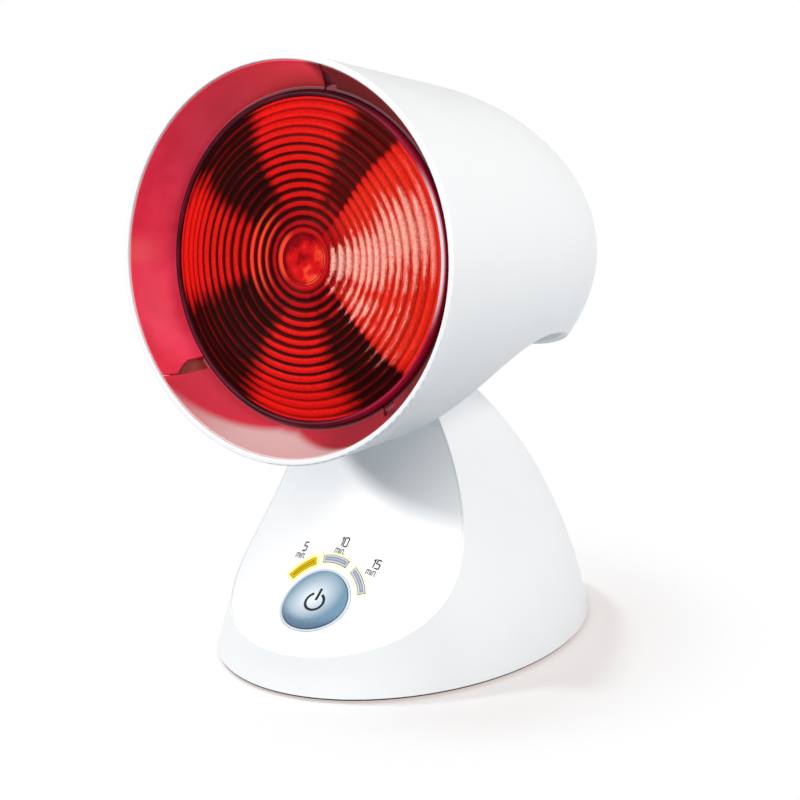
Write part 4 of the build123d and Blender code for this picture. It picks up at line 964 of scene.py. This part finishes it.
def make_light_guides():
    """Each guide: a raised frame round a sunk bar, rounded at its edges."""
    panel = surface("front_panel")
    span = 2 * GUIDE_HALF_SPAN
    edge = [(place * MM, height * MM) for place, height in GUIDE_SECTION]
    crossing = both_sides(edge, [GUIDE_HALF_WIDTH], 2 * GUIDE_HALF_WIDTH)
    ends = [(place / GUIDE_MIDDLE_R, height) for place, height in edge]
    first = ends[-1][0]
    inner = [first + (span - 2 * first) * step / GUIDE_STEPS for step in range(1, GUIDE_STEPS)]
    ends = both_sides(ends, inner, span)
    inside, outside = GUIDE_INNER_R - GUIDE_BESIDE, GUIDE_OUTER_R + GUIDE_BESIDE
    for index, node in enumerate(("light_guide_left", "light_guide_middle", "light_guide_right")):
        start = (index - 1) * GUIDE_STEP - GUIDE_HALF_SPAN
        rows = []
        for turn, end_height in ends:
            way = Vector((sin(start + turn), cos(start + turn)))
            low = dropped(panel, *(way * inside))
            over = (dropped(panel, *(way * outside)) - low) / (outside - inside)
            rows.append([low + over * (GUIDE_BESIDE + place) - PRESS * min(height, end_height)
                         for place, height in crossing])
        form = bmesh.new()
        form.from_mesh(grid_mesh(node + "_lens", rows))
        bmesh.ops.holes_fill(form, edges=[one for one in form.edges if one.is_boundary], sides=0)
        outward(form)
        dress(node, "_lens", form)


# ---- print
def ribbon(form, path, width, place):
    """A flat stroke along a path, square at its ends; place gives a point at a height."""
    last = len(path) - 1
    pairs = []
    for index, here in enumerate(path):
        before = path[max(0, index - 1)]
        way = (path[min(last, index + 1)] - before).normalized()
        first = (here - before).normalized() if index else way
        side = Vector((-way.y, way.x)) * width / 2 / max(0.6, abs(first.dot(way)))
        pairs.append((here - side, here + side))
    below = [[form.verts.new(place(*point, -PRINT_T)) for point in pair] for pair in pairs]
    above = [[form.verts.new(place(*point, PRINT_T)) for point in pair] for pair in pairs]
    for i in range(last):
        form.faces.new((above[i][0], above[i][1], above[i + 1][1], above[i + 1][0]))
        form.faces.new((below[i][1], below[i][0], below[i + 1][0], below[i + 1][1]))
        for j in (0, 1):
            form.faces.new((above[i][j], above[i + 1][j], below[i + 1][j], below[i][j]))
    for i in (0, last):
        form.faces.new((above[i][0], above[i][1], below[i][1], below[i][0]))


# thin squared letters on a 0..1 high box, as strokes of (x, y)
GLYPHS = {
    "0": (((0.08, 0.0), (0.42, 0.0), (0.5, 0.1), (0.5, 0.9), (0.42, 1.0), (0.08, 1.0), (0.0, 0.9), (0.0, 0.1),
           (0.08, 0.0)),),
    "1": (((0.0, 0.78), (0.2, 1.0), (0.2, 0.0)),),
    "5": (((0.5, 1.0), (0.04, 1.0), (0.02, 0.56), (0.42, 0.56), (0.5, 0.48), (0.5, 0.08), (0.42, 0.0),
           (0.0, 0.0)),),
    "m": (((0.0, 0.0), (0.0, 1.0), (0.76, 1.0), (0.84, 0.9), (0.84, 0.0)), ((0.42, 1.0), (0.42, 0.0))),
    "i": (((0.0, 0.0), (0.0, 1.0)), ((0.0, 1.3), (0.0, 1.46))),
    "n": (((0.0, 0.0), (0.0, 1.0), (0.42, 1.0), (0.5, 0.9), (0.5, 0.0)),),
    ".": (((0.0, 0.0), (0.0, 0.16)),),
}
ADVANCE = {"0": 0.78, "1": 0.42, "5": 0.78, "m": 1.14, "i": 0.32, "n": 0.78, ".": 0.2}
PRINT_SLANT = 0.12
PRINT_STEP = 0.8 * MM          # strokes follow the surface at least this closely


def stepped(path):
    """A path with points added along its long stretches."""
    dense = [path[0]]
    for here, there in zip(path, path[1:]):
        steps = max(1, ceil((there - here).length / PRINT_STEP))
        dense += [here.lerp(there, k / steps) for k in range(1, steps + 1)]
    return dense


def write_line(form, text, x, y, height, width, place):
    """Strokes of a short text, centred on x, with its foot at y."""
    last_width = max(across for line in GLYPHS[text[-1]] for across, _ in line)
    total = sum(ADVANCE[letter] for letter in text[:-1]) + last_width
    foot = Vector((x - total * height / 2, y))
    for letter in text:
        for line in GLYPHS[letter]:
            path = [foot + Vector((across + PRINT_SLANT * up, up)) * height for across, up in line]
            ribbon(form, stepped(path), width, place)
        foot.x += ADVANCE[letter] * height


def printed(form, name, body):
    outward(form)
    named(name, form, "ink", body, "part_black", smooth=False)


def make_timer_marks():
    """Plain minutes beside the lights."""
    on_panel = partial(dropped, surface("front_panel"))
    form = bmesh.new()
    for text, x, y in NUMBERS:
        write_line(form, text, x * MM, y * MM, NUMBER_H, NUMBER_STROKE, on_panel)
        unit_x, unit_y = (x + UNIT_SHIFT[0]) * MM, (y + UNIT_SHIFT[1]) * MM
        write_line(form, "min.", unit_x, unit_y, UNIT_H, UNIT_STROKE, on_panel)
    printed(form, "timer_marks", "stand")


def make_power_mark():
    """The open ring and the bar printed on the button."""
    on_button = partial(dropped, surface("power_button"))
    form = bmesh.new()
    steps = 48
    turns = [POWER_GAP + 2 * (pi - POWER_GAP) * step / steps + POWER_LEAN for step in range(steps + 1)]
    ring = [Vector((sin(turn), cos(turn))) * POWER_RING_R + POWER_RING_SHIFT for turn in turns]
    low, high = POWER_BAR
    bar = [Vector((POWER_BAR_X, low + (high - low) * step / 8)) for step in range(9)]
    for path in (ring, bar):
        ribbon(form, path, POWER_STROKE, on_button)
    printed(form, "power_mark", "button")


# ---- screws
def islands(form):
    """The groups of faces that hang together, in the same order each run."""
    seen = set()
    for first in form.faces:
        if first in seen:
            continue
        seen.add(first)
        island = [first]
        for face in island:                # grows as its neighbours are found
            for edge in face.edges:
                near = [other for other in edge.link_faces if other not in seen]
                seen.update(near)
                island += near
        yield island


def screw_places(node):
    """The middle of each screw's head, and the way it faces: the largest flat of each solid."""
    form = form_of(frame["nodes"][node].data)
    places = []
    for island in islands(form):
        planes = {}
        for face in island:
            offset = face.normal.dot(face.calc_center_median())
            key = tuple(round(part, 2) for part in face.normal) + (round(offset / (0.05 * MM)),)
            planes.setdefault(key, []).append(face)
        head = max(planes.values(), key=lambda faces: sum(face.calc_area() for face in faces))
        area = sum(face.calc_area() for face in head)
        middle = sum((face.calc_center_median() * face.calc_area() for face in head), Vector()) / area
        places.append((middle, head[0].normal.copy()))
    form.free()
    return places


def pan_head(made):
    """A pan head whose top is at zero, with a crossed recess cut in it."""
    values = {"Segments": 40, "Rings": 20, "Radius": 1.0}
    ball = made.out("GeometryNodeMeshUVSphere", values)
    spot = made.position()
    reach = made.length(spot[0], spot[1])
    swell = made.lowest(1.0, made.times(HEAD_SWELL, reach))
    wide = made.math("DIVIDE", made.times(swell, made.size("Radius")), made.highest(3e-5, reach))
    squash = made.less(made.highest(spot[2], -HEAD_CUT), 1.0)
    z = made.times(squash, made.math("DIVIDE", made.size("Height"), 1 + HEAD_CUT))
    head = made.moved(ball, made.times(spot[0], wide), made.times(spot[1], wide), z)
    long, short, deep = made.times(made.size("Reach"), 2.0), made.size("Slot"), made.size("Depth")
    bars = made.node("GeometryNodeJoinGeometry")
    for sizes in ((long, short, deep), (short, long, deep)):
        bar = made.node("GeometryNodeMeshCube", {"Size": made.vector(*sizes)}).outputs["Mesh"]
        made.join(bar, bars.inputs[0])
    cut = made.node("GeometryNodeMeshBoolean", operation="DIFFERENCE")
    made.join(head, cut.inputs[0])
    made.join(bars.outputs[0], cut.inputs[1])
    return cut.outputs[0]


def make_screws(node):
    """Pan heads where the node's screws are."""
    places = screw_places(node)
    spots = bpy.data.meshes.new(node + "_spots")
    spots.from_pydata([middle for middle, _ in places], [], [])
    ways = spots.attributes.new("way", "FLOAT_VECTOR", "POINT")
    for index, (_, way) in enumerate(places):
        ways.data[index].vector = way
    name = node + "_heads"
    made = Shape(name, {"Radius": SCREW_HEAD_R, "Height": SCREW_HEAD_T, "Slot": RECESS_WIDTH,
                        "Reach": RECESS_REACH, "Depth": RECESS_DEPTH})
    way = made.node("GeometryNodeInputNamedAttribute", {"Name": "way"}, data_type="FLOAT_VECTOR")
    values = {"Vector": way.outputs["Attribute"]}
    turn = made.out("FunctionNodeAlignRotationToVector", values, axis="Z")
    points = made.out("GeometryNodeMeshToPoints", {"Mesh": made.size("Given")})
    values = {"Points": points, "Instance": pan_head(made), "Rotation": turn}
    heads = made.out("GeometryNodeInstanceOnPoints", values)
    form = form_of(made.bake(name, heads, SLOTS[node], spots))
    sharpen(form, SCREW_CREASE)
    dress(node, "_heads", form)


make_lens()
make_lens_ring()
make_liner()
make_light_guides()
make_timer_marks()
make_power_mark()
for node in ("base_screws", "housing_screws", "cradle_screws"):
    make_screws(node)

# ---- skins, and finishes for the rest of the frame
SKINNED = ("shade_shell", "rear_vent_cap", "bulb_housing", "hinge_arm", "stand_shell", "front_panel",
           "button_bezel", "power_button", "cord_gland", "bottom_plate", "rubber_feet", "pivot_pin",
           "pivot_nut", "bulb_reflector", "lamp_holder", "friction_washers")
for node in SKINNED:
    skin(node)
for node, thing in frame["nodes"].items():
    if not thing.hide_render:
        thing.data.materials.clear()
        thing.data.materials.append(FINISHES[SLOTS[node]])


# ---- floor and light
FLOOR_HALF = 6.0
STAGE_NEAR = 0.085             # the floor keeps its shadows this close to the middle
STAGE_FAR = 0.145              # and is plain white from here on
FLOOR_COLOR = (0.7, 0.77, 0.82, 1.0)
FLOOR_SHADOW = (0.62, 0.72, 0.76, 1.0)
FLOOR_LIFT = (0.63, 0.548, 0.51, 1.0)
FILL = 0.14
FILL_COLOR = (0.66, 0.87, 1.0, 1.0)
WHITE = (1.0, 1.0, 1.0, 1.0)
LAMP_LIGHT = (1.0, 0.968, 0.938)
FLOOR_LIGHT = (1.0, 1.0, 1.0)
LIGHT_AIM = Vector((0, -20, 90)) * MM


def seen_plainly(made):
    """One where something is seen by the camera, in a reflection or through glass."""
    path = made.node("ShaderNodeLightPath").outputs
    return made.highest(*(path["Is " + kind + " Ray"] for kind in ("Camera", "Glossy", "Transmission")))


def make_floor():
    """A pale floor that keeps the lamp's shadow and fades to white."""
    corners = [(x * FLOOR_HALF, y * FLOOR_HALF, 0) for x, y in ((-1, -1), (1, -1), (1, 1), (-1, 1))]
    mesh = bpy.data.meshes.new("floor")
    mesh.from_pydata(corners, [], [(0, 1, 2, 3)])
    floor = bpy.data.objects.new("floor", mesh)
    bpy.context.scene.collection.objects.link(floor)
    made = Finish("floor", (255, 255, 255), 1.0)
    made.tree.nodes.remove(made.shader)
    matte = made.out("ShaderNodeBsdfDiffuse", [FLOOR_COLOR])
    thin = made.out("ShaderNodeBsdfDiffuse", [FLOOR_SHADOW])
    lift = made.out("ShaderNodeEmission", [FLOOR_LIFT, 1.0])
    near = made.out("ShaderNodeAddShader", [thin, lift])
    white = made.out("ShaderNodeEmission", [WHITE, 1.0])
    x, y, _ = made.parts(made.place())
    far = made.ease(made.length(x, y), STAGE_NEAR, STAGE_FAR)
    shown = made.out("ShaderNodeMixShader", [far, near, white])
    both = made.out("ShaderNodeMixShader", [seen_plainly(made), matte, shown])
    made.join(both, made.tree.nodes["Material Output"].inputs["Surface"])
    mesh.materials.append(FINISHES["floor"])


def make_world():
    """White where it is seen, and a cool soft fill for the rest."""
    world = bpy.data.worlds.new("world")
    bpy.context.scene.world = world
    world.use_nodes = True
    made = Nodes(world.node_tree)
    fill = made.tree.nodes["Background"]
    made.join(FILL_COLOR, fill.inputs["Color"])
    made.join(FILL, fill.inputs["Strength"])
    white = made.out("ShaderNodeBackground", [WHITE, 1.0])
    both = made.out("ShaderNodeMixShader", [seen_plainly(made), fill.outputs[0], white])
    made.join(both, made.tree.nodes["World Output"].inputs["Surface"])


def link_light(light, state, things):
    """A collection that says which things a light reaches, or which ones stop it."""
    linked = bpy.data.collections.new(light.name + "_" + state.lower())
    for thing in things:
        linked.objects.link(bpy.data.objects[thing])
    for row in linked.collection_objects:
        row.light_linking.link_state = state
    return linked


def soft_light(name, azimuth, elevation, distance, size, level, color, on_floor=False, blocker=None):
    """A square light on the floor alone, or on all else; level is how bright it makes white that faces it."""
    data = bpy.data.lights.new(name, "AREA")
    data.shape = "SQUARE"
    data.size = size
    data.energy = level * pi * pi * distance * distance
    data.color = color
    light = bpy.data.objects.new(name, data)
    aimed(light, way_to(radians(azimuth), radians(elevation)), distance, LIGHT_AIM)
    state = "INCLUDE" if on_floor else "EXCLUDE"
    light.light_linking.receiver_collection = link_light(light, state, ["floor"])
    if blocker:
        light.light_linking.blocker_collection = link_light(light, "INCLUDE", [blocker])


make_floor()
make_world()
soft_light("key", -32, 23, 1.8, 0.18, 0.6, LAMP_LIGHT)
soft_light("side", 97, 35, 1.6, 0.9, 0.89, LAMP_LIGHT)
soft_light("front", 4, 38, 1.6, 0.9, 0.35, LAMP_LIGHT)
soft_light("over", -90, 72, 1.6, 0.9, 0.3, FLOOR_LIGHT, on_floor=True)
soft_light("edge", -84, 57, 1.6, 0.16, 0.28, FLOOR_LIGHT, on_floor=True, blocker="stand_shell_skin")
